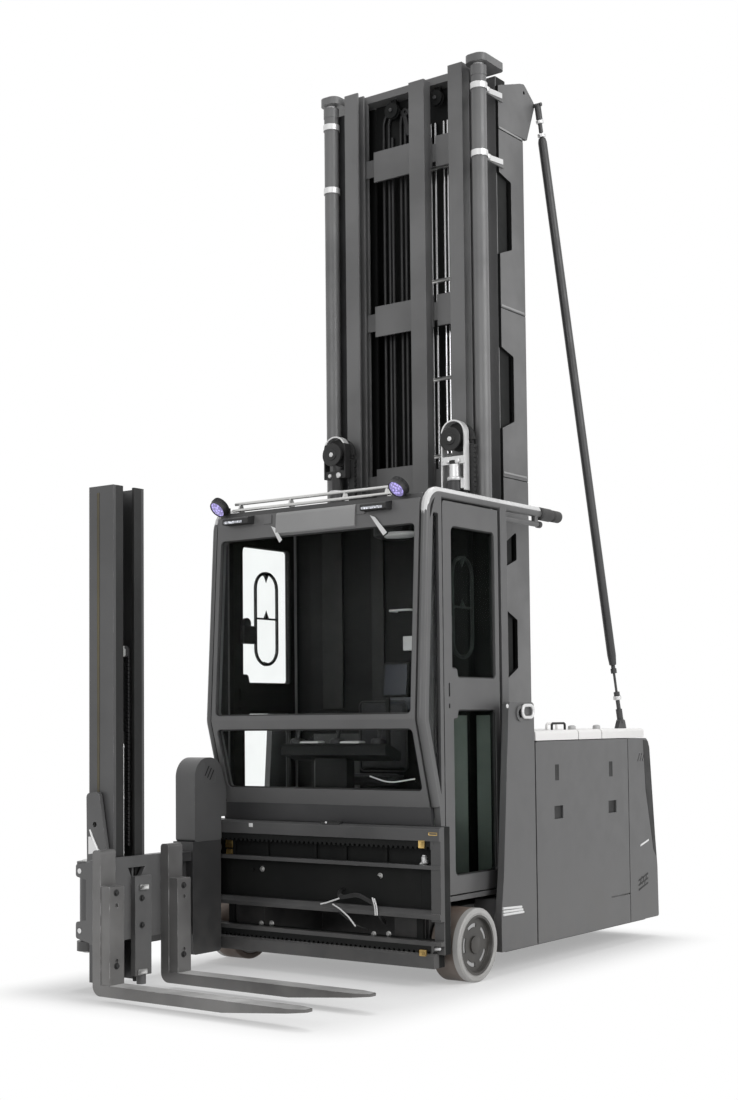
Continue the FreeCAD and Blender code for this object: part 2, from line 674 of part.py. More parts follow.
def free_lift_head(ram_x):
    """One rod with what it pushes up: bridge, bail, dished pulley and the chain's sheave."""
    piston = rod("z", (ram_x, D.ram_y), D.ram_rod_radius, D.ram_low + 60, D.sheave_z - 120)
    bridge_low = D.sheave_z - 142
    bridge = block(band(ram_x, 72), band(D.ram_y, 20), (bridge_low, bridge_low + 46))
    bail_top = D.sheave_z + 116
    bail = cut(
        prism("XZ", [(ram_x - 81, bridge_low), (ram_x - 81, bail_top, 80),
                     (ram_x + 81, bail_top, 80), (ram_x + 81, bridge_low)],
              D.ram_y - 24, D.ram_y + 24),
        prism("XZ", [(ram_x - 72, bridge_low - 1), (ram_x - 72, bail_top - 9, 71),
                     (ram_x + 72, bail_top - 9, 71), (ram_x + 72, bridge_low - 1)],
              D.ram_y - 26, D.ram_y + 26))
    hub = (ram_x, D.sheave_z)
    pin = rod("y", hub, 22, D.ram_y - 58, D.chain_y + 14)
    reach = D.sheave_radius
    face = D.ram_y - 52
    pulley = turned("y", hub, [
        (face, 20), (face + 26, 20), (face + 26, reach), (face + 20, reach),
        (face + 17, reach - 8), (face + 9, reach - 8), (face + 6, reach), (face, reach),
        (face, reach - 10), (face + 4, reach - 14), (face + 4, 34), (face, 30)])
    thick = 12
    chain_band = band(D.chain_y, thick)
    half_chain = 24
    sheave_reach = D.chain_x - half_chain
    sheave = rod("y", hub, sheave_reach, *chain_band)
    crown = cut(rod("y", hub, D.chain_x + half_chain, *chain_band),
                block(band(ram_x, 130), band(D.chain_y, 20), (D.sheave_z - 130, D.sheave_z)))
    chain_x = ram_x + D.chain_x
    strand = ribbed_strand("y", (chain_x.number, D.chain_y.number), (half_chain, thick), 750, 2982, 28)
    joint = block(band(chain_x, 12), band(D.chain_y, 8), (D.sheave_z - 20, D.sheave_z + 1))
    return [piston, bridge, bail, pin, pulley, sheave, crown, strand, joint]


def make_free_lift():
    """The two free-lift rams, alike but not mirrored: each chain runs on the left."""
    places = (-D.ram_x, D.ram_x)
    node("free_lift_cylinders", [free_lift_barrel(ram_x) for ram_x in places])
    node("free_lift_heads", [free_lift_head(ram_x) for ram_x in places])


# ---------------------------------------------------------------- cab

UPPER_SLOPE = 0.058
LOWER_SLOPE = 0.284


def front_profile(inset, low, high):
    """Side view of the cab's bent front, moved back by an inset."""
    kink_y = D.kink_y + inset
    return [
        (kink_y + (D.kink_z - low) * LOWER_SLOPE, low), (kink_y, D.kink_z),
        (kink_y + (size(high) - D.kink_z) * UPPER_SLOPE, high)]


def window_tool(low, high):
    """The rounded outline of a front window, as a prism from front to rear."""
    half = D.window_half
    return prism("XZ", [(-half, low, 28), (-half, high, 28), (half, high, 28), (half, low, 28)],
                 D.kink_y - 100, D.kink_y + 300)


def make_cab_front():
    """The bent front frame with its two window openings."""
    half = D.tube_x - D.tube_radius
    shell = prism("YZ", front_profile(0, D.front_low, D.frame_top)
                  + front_profile(50, D.front_low, D.frame_top)[::-1], -half, half)
    hinges = both(prism("YZ", [(187, 2488), (190, 2542), (205, 2542), (205, 2488)], 300, 354))
    node("cab_front", cut(shell, window_tool(D.upper_low, D.upper_high),
                          window_tool(D.lower_low, D.lower_high)), hinges)


def quarter_window(low, high):
    """The narrow window between the cab's front corner and its door."""
    inset = D.kink_y + 60
    rear = D.door_pillar - 30
    point_z = D.kink_z - (rear - inset) * (1 / LOWER_SLOPE)
    return prism("YZ", [
        (rear, point_z), (inset, D.kink_z), (inset + (2470 - D.kink_z) * UPPER_SLOPE, 2470, 14),
        (rear, 2470, 14)], low, high)


def make_cab_sides():
    """Each side's frame: the bent corner tube, the pillar and sill round the door."""
    inner = D.cab_half - D.cab_wall
    corner = D.kink_y + D.tube_radius
    head = D.tube_z - 6
    side = prism("YZ", [
        (corner + (D.kink_z - D.front_low) * LOWER_SLOPE, D.front_low), (corner, D.kink_z),
        (corner + (2400 - D.kink_z) * UPPER_SLOPE, 2400),
        (corner + 60 + (head - D.kink_z) * UPPER_SLOPE, head),
        (D.post_rear, head), (D.post_rear, D.cab_floor), (D.door_front - 8, D.cab_floor)],
        inner, D.cab_half)
    door_gap = block((inner - 1, D.cab_half + 1), (D.door_pillar, D.post_front),
                     (D.sill_top, D.tube_z + 1))
    upper_y = D.kink_y.number + D.tube_radius.number
    lift = D.tube_z.number - D.kink_z.number
    drop = D.kink_z.number - D.front_low.number - 8
    bar = bent_bar([
        (D.tube_x.number, D.tube_rear.number, D.tube_z.number),
        (D.tube_x.number, upper_y + lift * UPPER_SLOPE, D.tube_z.number),
        (D.tube_x.number, upper_y, D.kink_z.number),
        (D.tube_x.number, upper_y + drop * LOWER_SLOPE, D.kink_z.number - drop)],
        D.tube_radius.number, 110)
    lower_bar = rod("y", (D.tube_x, 2512), 16, D.post_rear - 5, 1380)
    hanger = block(band(D.tube_x, 12), (1335, 1370), (2512, D.tube_z))
    node("cab_sides", both(cut(side, door_gap, quarter_window(inner - 1, D.cab_half + 1)),
                           bar, lower_bar, hanger))


def make_cab_floor():
    """The platform that the operator stands on, with its front kick plate."""
    inner = D.cab_half - D.cab_wall
    deck = block((-inner, inner), (D.kick_y, D.rear_wall_y + D.rear_wall_thick),
                 (D.cab_floor, D.sill_top))
    kick = block((-inner, inner), (D.kick_y, D.kick_y + 30), (D.sill_top - 1, D.front_low))
    node("cab_floor", deck, kick)


def make_cab_rear_wall():
    """The ribbed rear wall, stepped back beside the doors, and the arms behind it."""
    thick = D.rear_wall_thick
    inner = D.cab_half - D.cab_wall
    step = D.rear_wall_step
    front = D.rear_wall_y
    side_front = D.rear_wall_side_y
    wall = prism("XY", [
        (-inner, side_front), (-step, side_front), (-step, front), (step, front),
        (step, side_front), (inner, side_front), (inner, side_front + thick),
        (step - thick, side_front + thick), (step - thick, front + thick),
        (-step + thick, front + thick), (-step + thick, side_front + thick),
        (-inner, side_front + thick)], D.sill_top, D.frame_top)
    ribs = [block(band(x, 25), (front - 4, front + 1), (1560, 2480)) for x in (-420, 420)]
    arm_x = (D.rail_in - 70, D.rail_in - 30)
    roller_y = (D.inner_front + D.inner_rear) / 2
    arms = [block(arm_x, (front + thick - 1, front + thick + 60), (D.sill_top, 2100))]
    for low, high in ((560, 760), (1900, 2100)):
        arms.append(block(arm_x, (front + thick - 1, D.inner_rear - 16), (low, high)))
        arms.append(rod("x", (roller_y, size(low) + 100), 20, D.rail_in - 40,
                        D.rail_out - D.web - 6))
    node("cab_rear_wall", wall, ribs, both(arms))


def make_cab_roof():
    """The roof plate with its pressed ribs."""
    half = D.tube_x - D.tube_radius
    rear = D.rear_wall_y + D.rear_wall_thick
    front = 225
    plate = block((-half, half), (front, rear), (D.frame_top, D.roof_top))
    ribs = [block((-half + 80, half - 80), band(middle, 28), (D.roof_top - 1, D.roof_top + 8))
            for middle in (400, 560, 720)]
    node("cab_roof", plate, ribs)


def make_roof_bars():
    """The two bright bars along the roof's front edge, on their brackets."""
    bars = [rod("x", (y, z), 9, -600, 514) for y, z in ((210, 2586), (232, 2626))]
    brackets = [prism("YZ", [(206, 2582), (228, 2630), (240, 2630), (262, D.roof_top),
                             (225, D.roof_top)], x - 5, x + 5) for x in (-560, -190, 190, 474)]
    node("roof_bars", bars, brackets)


def make_buffers():
    """The rubber ends of the roof tubes and of the bars below them."""
    rear = D.tube_rear
    big = turned("y", (D.tube_x, D.tube_z), [
        (rear, 0), (rear, 30), (rear + 8, 38), (rear + 120, 38), (rear + 132, 27),
        (rear + 146, 27), (rear + 158, 35), (rear + 225, 35), (rear + 240, 20), (rear + 240, 0)])
    small = turned("y", (D.tube_x, 2512), [
        (1380, 0), (1380, 20), (1408, 20), (1414, 12), (1414, 0)])
    node("cab_buffers", both(big, small))


def make_windscreens():
    """The front panes and the quarter panes beside them."""
    glass = 8
    face = D.kink_y + 20

    def sheet_of_glass(low, high, slope):
        """A sloping sheet of glass, a little larger than its window."""
        foot = face + (size(low) - D.kink_z) * slope
        top = face + (size(high) - D.kink_z) * slope
        half = D.window_half + 5
        return prism("YZ", [(foot, low), (top, high), (top + glass, high), (foot + glass, low)],
                     -half, half)

    upper = common(sheet_of_glass(D.upper_low - 5, D.upper_high + 5, UPPER_SLOPE),
                   window_tool(D.upper_low, D.upper_high))
    lower = common(sheet_of_glass(D.lower_low - 5, D.lower_high + 5, -LOWER_SLOPE),
                   window_tool(D.lower_low, D.lower_high))
    middle = D.cab_half - 20
    node("windscreens", upper, lower, both(quarter_window(middle - 3, middle + 3)))


def make_seat():
    """The operator's narrow seat, one closed solid on the rear wall."""
    cushion = prism("YZ", [(640, 1005, 20), (640, 1075, 30), (D.rear_wall_y - 60, 1075),
                           (D.rear_wall_y - 60, 1005)], -180, 180)
    back = prism("YZ", [(D.rear_wall_y - 61, 1005), (D.rear_wall_y - 55, 1500, 25),
                        (D.rear_wall_y, 1500), (D.rear_wall_y, 1005)], -180, 180)
    node("seat", cushion, back)


def make_console():
    """The control desk at the front, its column and the screen at its left end."""
    desk = prism("YZ", [(262, 1190), (410, 1150, 15), (410, 1205, 15), (262, 1262, 20)],
                 -300, 420)
    column = block((-110, 110), (330, 400), (D.sill_top, 1190))
    screen = prism("YZ", [(300, 1500, 8), (330, 1500, 8), (350, 1690, 8), (320, 1690, 8)],
                   380, 545)
    stalk = block((392, 412), (308, 324), (1200, 1510))
    node("control_desk", desk, column, screen, stalk)


def rack_teeth(low, high):
    """A rack along the traverse frame, its teeth pointing down."""
    pitch = 31.4
    half = 785
    root = low + 14
    count = int(2 * half / pitch)
    outline = [(-half, high)]
    for tooth in range(count):
        start = -half + tooth * pitch
        outline += [(start + 4, root), (start + 10, low), (start + 20, low), (start + 26, root)]
    outline += [(half, root), (half, high)]
    front = D.beam_front.number + 10
    return outline_body(outline, "y", front, front + 34)


def make_traverse_frame():
    """The beams, racks and plate under the cab that the fork head travels along."""
    half = D.beam_half
    low_half = D.beam_low_half
    front = D.beam_front
    rear = D.beam_rear
    upper = prism("YZ", [
        (front, D.beam_top - 72), (front, D.beam_top - 10, 6), (front + 14, D.beam_top, 6),
        (rear, D.beam_top), (rear, D.beam_top - 72)], -half, half)
    second = block((-half, half), (front + 8, rear), (606, 626))
    plate = block((-half + 5, half - 5), (rear - 30, rear - 10), (390, 760))
    third = prism("YZ", [(front + 4, 352), (front + 4, 372, 6), (front + 30, 396, 6),
                         (rear, 396), (rear, 352)], -half, half)
    thin = block((-half, half), (front + 10, rear), (216, 238))
    bottom = prism("YZ", [(front, D.beam_low), (front, 166, 6), (front + 12, 176, 6),
                          (rear, 176), (rear, D.beam_low)], -low_half, low_half)
    ends = [block((low_half - 20, half), (front + 12, rear), (340, D.beam_top - 60)),
            block((low_half - 20, half), (front + 40, rear), (170, 345)),
            block((low_half - 160, low_half - 120), (rear - 31, D.kick_y), (390, D.beam_top)),
            block((low_half - 160, low_half - 120), (rear - 20, D.kick_y), (D.beam_low, 400))]
    posts = [block(band(x, 9), (front + 56, rear - 29), (620, D.beam_top - 70))
             for x in (-607, -365, -23, 183, 453)]
    studs = [rod("y", (x, 545), 9, rear - 44, rear - 28) for x in (-475, 400)]
    node("traverse_frame", upper, second, plate, third, thin, bottom, both(ends), posts, studs,
         rack_teeth(708, 754), rack_teeth(174, 218))


def door_outlines():
    """The door's two panes, each notched beside the lock."""
    upper = [(420, 1648, 10), (420, 2415, 40), (860, 2415, 30), (860, 1600, 30),
             (478, 1600, 14), (466, 1648, 10)]
    lower = [(430, 550, 30), (430, 1385, 10), (466, 1385, 10), (478, 1430, 14),
             (857, 1430, 30), (857, 550, 30)]
    return upper, lower


def make_doors():
    """Both cab doors: a leaf with a round hinge edge, two panes and the lock's slots."""
    for side, name in ((1, "left"), (-1, "right")):
        faces = [D.cab_half * side, (D.cab_half - D.cab_wall) * side]
        low_x, high_x = faces[::side][::-1]
        leaf = prism("YZ", [
            (D.door_front, D.door_low, 20), (D.door_front, D.door_high, 20),
            (D.hinge_y, D.door_high), (D.hinge_y, D.door_low)], low_x, high_x)
        edge = rod("z", (D.hinge_x * side, D.hinge_y), D.cab_wall / 2, D.door_low, D.door_high)
        upper, lower = door_outlines()
        openings = [prism("YZ", outline, low_x - 1, high_x + 1) for outline in (upper, lower)]
        locks = [block((low_x - 1, high_x + 1), (384, 398), span)
                 for span in ((1500, 1572), (1438, 1462))]
        node("door_" + name, cut(fused(leaf, edge), openings, locks))
        middle = D.hinge_x * side
        panes = [prism("YZ", outline, middle - 4, middle + 4) for outline in (upper, lower)]
        node("door_glass_" + name, panes)


# ---------------------------------------------------------------- fork head


def make_turret():
    """The drive housing with its arched top, and the body and arms below it."""
    step_z = D.turret_low + 130
    back = D.beam_front - 8
    housing = prism("YZ", [
        (D.turret_front, D.turret_low, 15), (D.turret_front, D.turret_arch, 110),
        (D.turret_rear - 60, D.turret_arch, 110), (D.turret_rear, 1000, 60),
        (D.turret_rear, step_z, 20), (back, step_z), (back, D.turret_low, 15)],
        -D.turret_out, -D.turret_in)
    vents = []
    for step in range(3):
        base = 1050 + 26 * step
        vents.append(prism("YZ", [(10, base), (90, base + 18), (90, base + 27), (10, base + 9)],
                           -D.turret_in - 10, -D.turret_in + 1))
    node("turret_housing", cut(housing, vents))
    body = prism("YZ", [
        (-90, 90, 20), (-90, D.turret_low, 0), (D.beam_front - 12, D.turret_low),
        (D.beam_front - 12, 90, 20)], -D.turret_out - 5, -D.turret_in - 1)
    arms = []
    for low, high in ((D.arm_low, D.arm_low + 50), (D.arm_high - 50, D.arm_high)):
        arms.append(block(band(-D.pivot_x, 60), (D.pivot_y, -88), (low, high)))
        arms.append(rod("z", (-D.pivot_x, D.pivot_y), 60, low, high))
    rib = block(band(-D.pivot_x, 20), (-500, -88), (D.arm_low + 49, D.arm_high - 49))
    bore = rod("z", (-D.pivot_x, D.pivot_y), 25.05, D.arm_low - 1, D.arm_high + 1)
    pinion = rod("y", (-D.pivot_x, 664), 28, D.beam_front - 13, D.beam_front + 48)
    node("turret_arm", cut(fused(body, arms, rib, pinion), bore))


def aux_rail(front, rear, web_front):
    """One channel of the auxiliary mast, its web at the front or at the rear."""
    web = D.aux_web
    if web_front:
        near, mouth = front, rear
        lip = size(front) + web
    else:
        near, mouth = rear, front
        lip = size(rear) - web
    return prism("XY", [
        (-D.aux_back, near), (-D.aux_face, near), (-D.aux_face, mouth),
        (-D.aux_face - web, mouth), (-D.aux_face - web, lip),
        (-D.aux_back + web, lip), (-D.aux_back + web, mouth), (-D.aux_back, mouth)],
        D.aux_low, D.aux_top)


def make_aux_mast():
    """The swinging auxiliary mast: channels, back plate, pivot post and ram barrel."""
    rails = [aux_rail(D.aux_front, D.aux_front + 70, True),
             aux_rail(D.aux_rear - 70, D.aux_rear, False)]
    back = block((-D.aux_back, -D.aux_back + 12), (D.aux_front + 40, D.aux_rear - 40),
                 (D.aux_low + 20, D.aux_top - 20))
    foot_z = (D.arm_low + 55, D.arm_high - 55)
    knuckle = [rod("z", (-D.pivot_x, D.pivot_y), D.pivot_radius, *foot_z),
               block((-D.pivot_x, -D.aux_back + 2), band(D.pivot_y, 40), foot_z)]
    pin = rod("z", (-D.pivot_x, D.pivot_y), 25, D.arm_low + 5, D.arm_high + 8)
    spot = (-D.aux_rod_x, D.aux_rod_y)
    barrel = tube("z", spot, 16, 12, 110, 1330)
    base = rod("z", spot, 16, 84, 111)
    bracket = block((-D.aux_back + 11, -D.aux_rod_x), band(D.aux_rod_y, 15), (84, 110))
    node("aux_mast", rails, back, knuckle, pin, barrel, base, bracket)


def make_aux_ram():
    """The auxiliary ram's rod with the sheave and the chain that it lifts."""
    spot = (-D.aux_rod_x, D.aux_rod_y)
    piston = rod("z", spot, 8, 150, 1740)
    sheave_y = D.aux_rod_y + 24
    centre = (sheave_y, 1745)
    fork = [block((-D.aux_rod_x + side - 3, -D.aux_rod_x + side + 3),
                  (D.aux_rod_y - 9, sheave_y + 10), (1722, 1757)) for side in (-14, 14)]
    bridge = block((-D.aux_rod_x - 17, -D.aux_rod_x + 17), band(D.aux_rod_y, 9), (1716, 1726))
    sheave = rod("x", centre, 22, -D.aux_rod_x - 9, -D.aux_rod_x + 9)
    pin = rod("x", centre, 6, -D.aux_rod_x - 20, -D.aux_rod_x + 20)
    strand = ribbed_strand("x", (-D.aux_rod_x.number, sheave_y.number + 24), (6, 9), 745, 1745, 20)
    crown = rod("x", centre, 29, -D.aux_rod_x - 9, -D.aux_rod_x + 9)
    node("aux_ram_head", piston, fork, bridge, sheave, pin, strand, crown)


def fork(name, near):
    """One fork arm: shank, tapered blade and the wear plate bolted to the shank."""
    back = -D.fork_back
    face = back + D.fork_thick
    top = D.fork_low + D.fork_thick
    far = near + D.fork_width
    arm = prism("XZ", [
        (back, D.fork_low, 50), (D.fork_taper, D.fork_low), (D.fork_tip, top - 12),
        (D.fork_tip, top), (face, top), (face, D.fork_shank_top, 18),
        (back, D.fork_shank_top, 18)], near, far)
    plan = prism("XY", [
        (back - 1, near), (D.fork_tip - 90, near, 60), (D.fork_tip, near + 30, 16),
        (D.fork_tip, far - 30, 16), (D.fork_tip - 90, far, 60), (back - 1, far)],
        0, D.fork_shank_top + 1)
    wear = prism("XZ", [(face - 1, top), (face - 1, 575), (face + 60, 575, 8), (face + 60, top)],
                 near + 4, far - 2)
    bolts = [rod("x", (near + D.fork_width / 2, height), 11, face + 50, face + 61)
             for height in (210, 480)]
    node(name, common(arm, plan), cut(wear, bolts))


def make_forks():
    """The two fork arms."""
    fork("fork_front", D.fork_front_y)
    fork("fork_rear", D.fork_rear_y)


def make_fork_carriage():
    """The plate that carries both forks and runs in the auxiliary mast on rollers."""
    back = -D.fork_back
    near = D.fork_front_y + 4
    plate = block((back - 27, back), (near, D.fork_rear_y + D.fork_width - 4),
                  (D.carriage_low, D.carriage_high))
    window = prism("YZ", [(-858, 644), (-736, 644), (-790, 564), (-820, 564)],
                   back - 30, back + 3)
    ear_y = (D.aux_front - 30, D.aux_front - 8)
    ear = cut(prism("XZ", [(-585, 620), (-590, 1020, 25), (-500, 1030, 25), (-430, 640),
                           (-430, 620)], *ear_y), rod("y", (-530, 863), 14, -1000, -900))
    ear_foot = block((-440, back - 26), ear_y, (620, 700))
    lugs = []
    for low, high in ((596, 691), (291, 406)):
        lugs.append(prism("XZ", [(-507, low + 20, 15), (-507, high - 15, 15), (back - 20, high),
                                 (back - 20, low)], near, near + 40))
        lugs.append(rod("y", (-480, (low + high) / 2), 16, near - 1, near + 48))
    spine = block((-435, back - 20), (near, near + 20), (300, 690))
    centre = block((back - 1, back + 30), (-838, -722), (100, 600))
    foot = rod("z", (back + 14, -780), 24, 55, 101)
    web_y = (D.aux_rod_y + 24, D.aux_rod_y + 36)
    roller_x = -D.aux_face - 87
    web = block((roller_x - 30, back - 26), web_y, (330, 680))
    rollers = []
    for height in (395, 615):
        centre_line = (roller_x, height)
        rollers.append(rod("y", centre_line, 58, D.aux_front + 22, D.aux_front + 66))
        rollers.append(rod("y", centre_line, 14, D.aux_front + 60, D.aux_rear - 60))
        rollers.append(rod("y", centre_line, 58, D.aux_rear - 66, D.aux_rear - 22))
    node("fork_carriage", cut(plate, window), ear, ear_foot, lugs, spine, centre, foot, web,
         rollers)


# ---------------------------------------------------------------- wheels and drive


def arc_slot(centre, radius, half_width, start, sweep, low, high):
    """A curved slot along X, as a tool; angles in degrees, counted from +Y upwards."""
    middle = Vector(low, centre[0], centre[1])
    corners = []
    for angle in (start, start + sweep / 2, start + sweep):
        turn = math.radians(angle)
        corners.append(Vector(0, math.cos(turn), math.sin(turn)))
    outer = [middle + spot * (radius + half_width) for spot in corners]
    inner = [middle + spot * (radius - half_width) for spot in corners]
    wire = Part.Wire([
        Part.Arc(*outer).toShape(), Part.LineSegment(outer[2], inner[2]).toShape(),
        Part.Arc(*inner[::-1]).toShape(), Part.LineSegment(inner[0], outer[0]).toShape()])
    item = doc.addObject("Part::Feature", "Slot")
    item.Shape = Part.Face(wire).extrude(Vector(high - low, 0, 0))
    return item


def make_load_wheels():
    """The two load wheels: a tread band on a dished rim with five curved slots."""
    half = D.load_wheel_width / 2
    middle = D.load_wheel_out - half
    rim = D.load_rim_radius
    bore = D.load_axle_radius + 0.05
    spot = (D.load_wheel_y, D.load_wheel_radius)
    for side, name in ((1, "left"), (-1, "right")):
        outer = middle * side + half * side
        inner = middle * side - half * side
        tread = [(inner + 6 * side, rim), (inner, rim + 8), (inner, D.load_wheel_radius - 8),
                 (inner + 8 * side, D.load_wheel_radius), (outer - 8 * side, D.load_wheel_radius),
                 (outer, D.load_wheel_radius - 8), (outer, rim + 8), (outer - 6 * side, rim)]
        node("load_tyre_" + name, turned("x", spot, tread))
        hub = [(inner + 4 * side, bore), (inner + 4 * side, rim), (outer - 4 * side, rim),
               (outer - 4 * side, rim - 16), (outer - 24 * side, rim - 22),
               (outer - 24 * side, 44), (outer - 14 * side, 40), (outer - 14 * side, bore)]
        ends = sorted((outer.number, outer.number - 60 * side))
        slots = [arc_slot([part.number for part in spot], 103, 11, 72 * step + 10, 44, *ends)
                 for step in range(5)]
        node("load_hub_" + name, cut(turned("x", spot, hub), slots))


def make_drive():
    """The steered drive: motor, turntable and fork leg, and the driven wheel."""
    centre = (0, D.drive_wheel_y)
    half = D.drive_wheel_width / 2
    spot = (D.drive_wheel_y, D.drive_wheel_radius)
    motor = rod("z", centre, 120, 765, 1140)
    cap = rod("z", centre, 95, 1139, 1180)
    gearbox = rod("z", centre, 125, 430, 770)
    leg = block((half + 12, 150), band(D.drive_wheel_y, 85), (170, 435))
    neck = block((-70, 150), band(D.drive_wheel_y, 85), (425, 470))
    axle = rod("x", spot, D.drive_axle_radius, -half - 4, 120)
    node("drive_unit", motor, cap, gearbox, leg, neck, axle)
    rim = D.drive_rim_radius
    reach = D.drive_wheel_radius
    node("drive_tyre", turned("x", spot, [
        (-half, rim), (half, rim), (half, reach - 6), (half - 6, reach), (-half + 6, reach),
        (-half, reach - 6)]))
    bore = D.drive_axle_radius + 0.05
    node("drive_hub", turned("x", spot, [
        (-half + 3, bore), (-half + 3, rim), (half - 3, rim), (half - 3, bore)]))


def make_lamps():
    """Spot lamps at the roof's front corners and the bar lights below them."""
    def header_y(height):
        """Where the cab's front face lies at a height."""
        return D.kink_y + (height - D.kink_z) * UPPER_SLOPE

    lamps = []
    for x in (-672, 588):
        head = turned("x", (0, 0), [(-34, 0), (-34, 22), (-6, 52), (12, 56), (26, 50), (26, 0)])
        lamps.append(place(head, x, 180, 2614, Rotation(AXES["x"], Vector(-0.15, -0.75, -0.64))))
        lamps.append(block(band(x, 12), (190, 256), (D.roof_top, 2612)))
    for low, high in ((-618, -430), (358, 528)):
        lamps.append(prism("YZ", [(136, 2498, 6), (136, 2532, 10), (header_y(2545), 2545),
                                  (header_y(2498), 2498)], low, high))
    node("roof_lamps", lamps)


for make in (
        make_chassis, make_uprights, make_side_panels, make_rear_cover, make_top_covers,
        make_battery, make_mast_plates, make_fixed_rails, make_lift_cylinders, make_stays,
        make_middle_stage, make_lift_rods, make_inner_stage, make_free_lift, make_cab_front,
        make_cab_sides, make_cab_floor, make_cab_rear_wall, make_cab_roof, make_roof_bars,
        make_buffers, make_windscreens, make_seat, make_console, make_traverse_frame,
        make_doors, make_turret, make_aux_mast, make_aux_ram, make_forks, make_fork_carriage,
        make_load_wheels, make_drive, make_lamps):
    make()

doc.recompute()

# ---------------------------------------------------------------- checks and export

for item in doc.Objects:
    if "Invalid" in item.State or "Error" in item.State:
        raise RuntimeError("%s (%s) failed to build" % (item.Name, item.Label))
os.makedirs("parts", exist_ok=True)
for item in nodes:
    shape = item.Shape
    if shape.isNull() or not shape.isValid() or not shape.Solids:
        raise RuntimeError("%s has no valid solid" % item.Label)
for item in nodes:
    item.Shape.exportStep("parts/%s.step" % item.Label)
print("wrote %d nodes" % len(nodes))
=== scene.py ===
import logging
import math
from collections.abc import Iterable, Sequence
from dataclasses import dataclass
from enum import Enum

import bpy
from mathutils import Matrix, Vector


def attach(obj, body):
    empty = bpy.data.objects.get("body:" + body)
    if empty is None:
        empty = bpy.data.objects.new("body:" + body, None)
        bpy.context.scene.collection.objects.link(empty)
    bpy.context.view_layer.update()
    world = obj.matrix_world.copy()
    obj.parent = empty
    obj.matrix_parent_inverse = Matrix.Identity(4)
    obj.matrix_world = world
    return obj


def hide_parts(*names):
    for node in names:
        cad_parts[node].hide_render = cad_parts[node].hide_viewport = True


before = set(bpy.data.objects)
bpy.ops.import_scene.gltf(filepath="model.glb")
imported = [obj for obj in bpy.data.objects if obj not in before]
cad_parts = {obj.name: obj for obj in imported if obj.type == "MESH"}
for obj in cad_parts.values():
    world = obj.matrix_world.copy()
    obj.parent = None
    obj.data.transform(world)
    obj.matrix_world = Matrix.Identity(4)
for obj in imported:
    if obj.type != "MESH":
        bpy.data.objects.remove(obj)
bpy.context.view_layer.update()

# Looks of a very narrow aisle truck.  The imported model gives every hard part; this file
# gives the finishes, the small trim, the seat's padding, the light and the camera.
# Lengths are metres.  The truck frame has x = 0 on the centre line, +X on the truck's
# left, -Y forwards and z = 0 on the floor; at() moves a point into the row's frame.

LOG = logging.getLogger("narrow_aisle_truck")
ORIGIN = Vector((0.0355, 0.754, 0.0))
UP = Vector((0, 0, 1))
LEFT = Vector((1, 0, 0))
FORE = Vector((0, -1, 0))
DUST_COLOUR = (0.36, 0.34, 0.31)
Colour = tuple[float, float, float]
Spot = Sequence[float]
Span = tuple[float, float]
Socket = bpy.types.NodeSocket


def at(x: float, y: float, z: float) -> Vector:
    """Moves a point of the truck frame into the row's frame."""
    return Vector((x, y, z)) - ORIGIN


def grey(level: float) -> Colour:
    """A grey paint's linear colour, a shade on the cool side."""
    return level, level, round(level + 0.001, 4)


def even(level: float) -> Colour:
    """A grey with no tint."""
    return level, level, level


# ---------------------------------------------------------------- finishes


class Grain(Enum):
    """How a finish breaks up its surface."""

    PAINT = "orange peel of sprayed paint"
    CAST = "coarse cast or forged skin"
    BRUSHED = "fine lines of drawn or brushed metal"
    MOULDED = "leathery moulded plastic"
    WOVEN = "crossed threads of cloth"


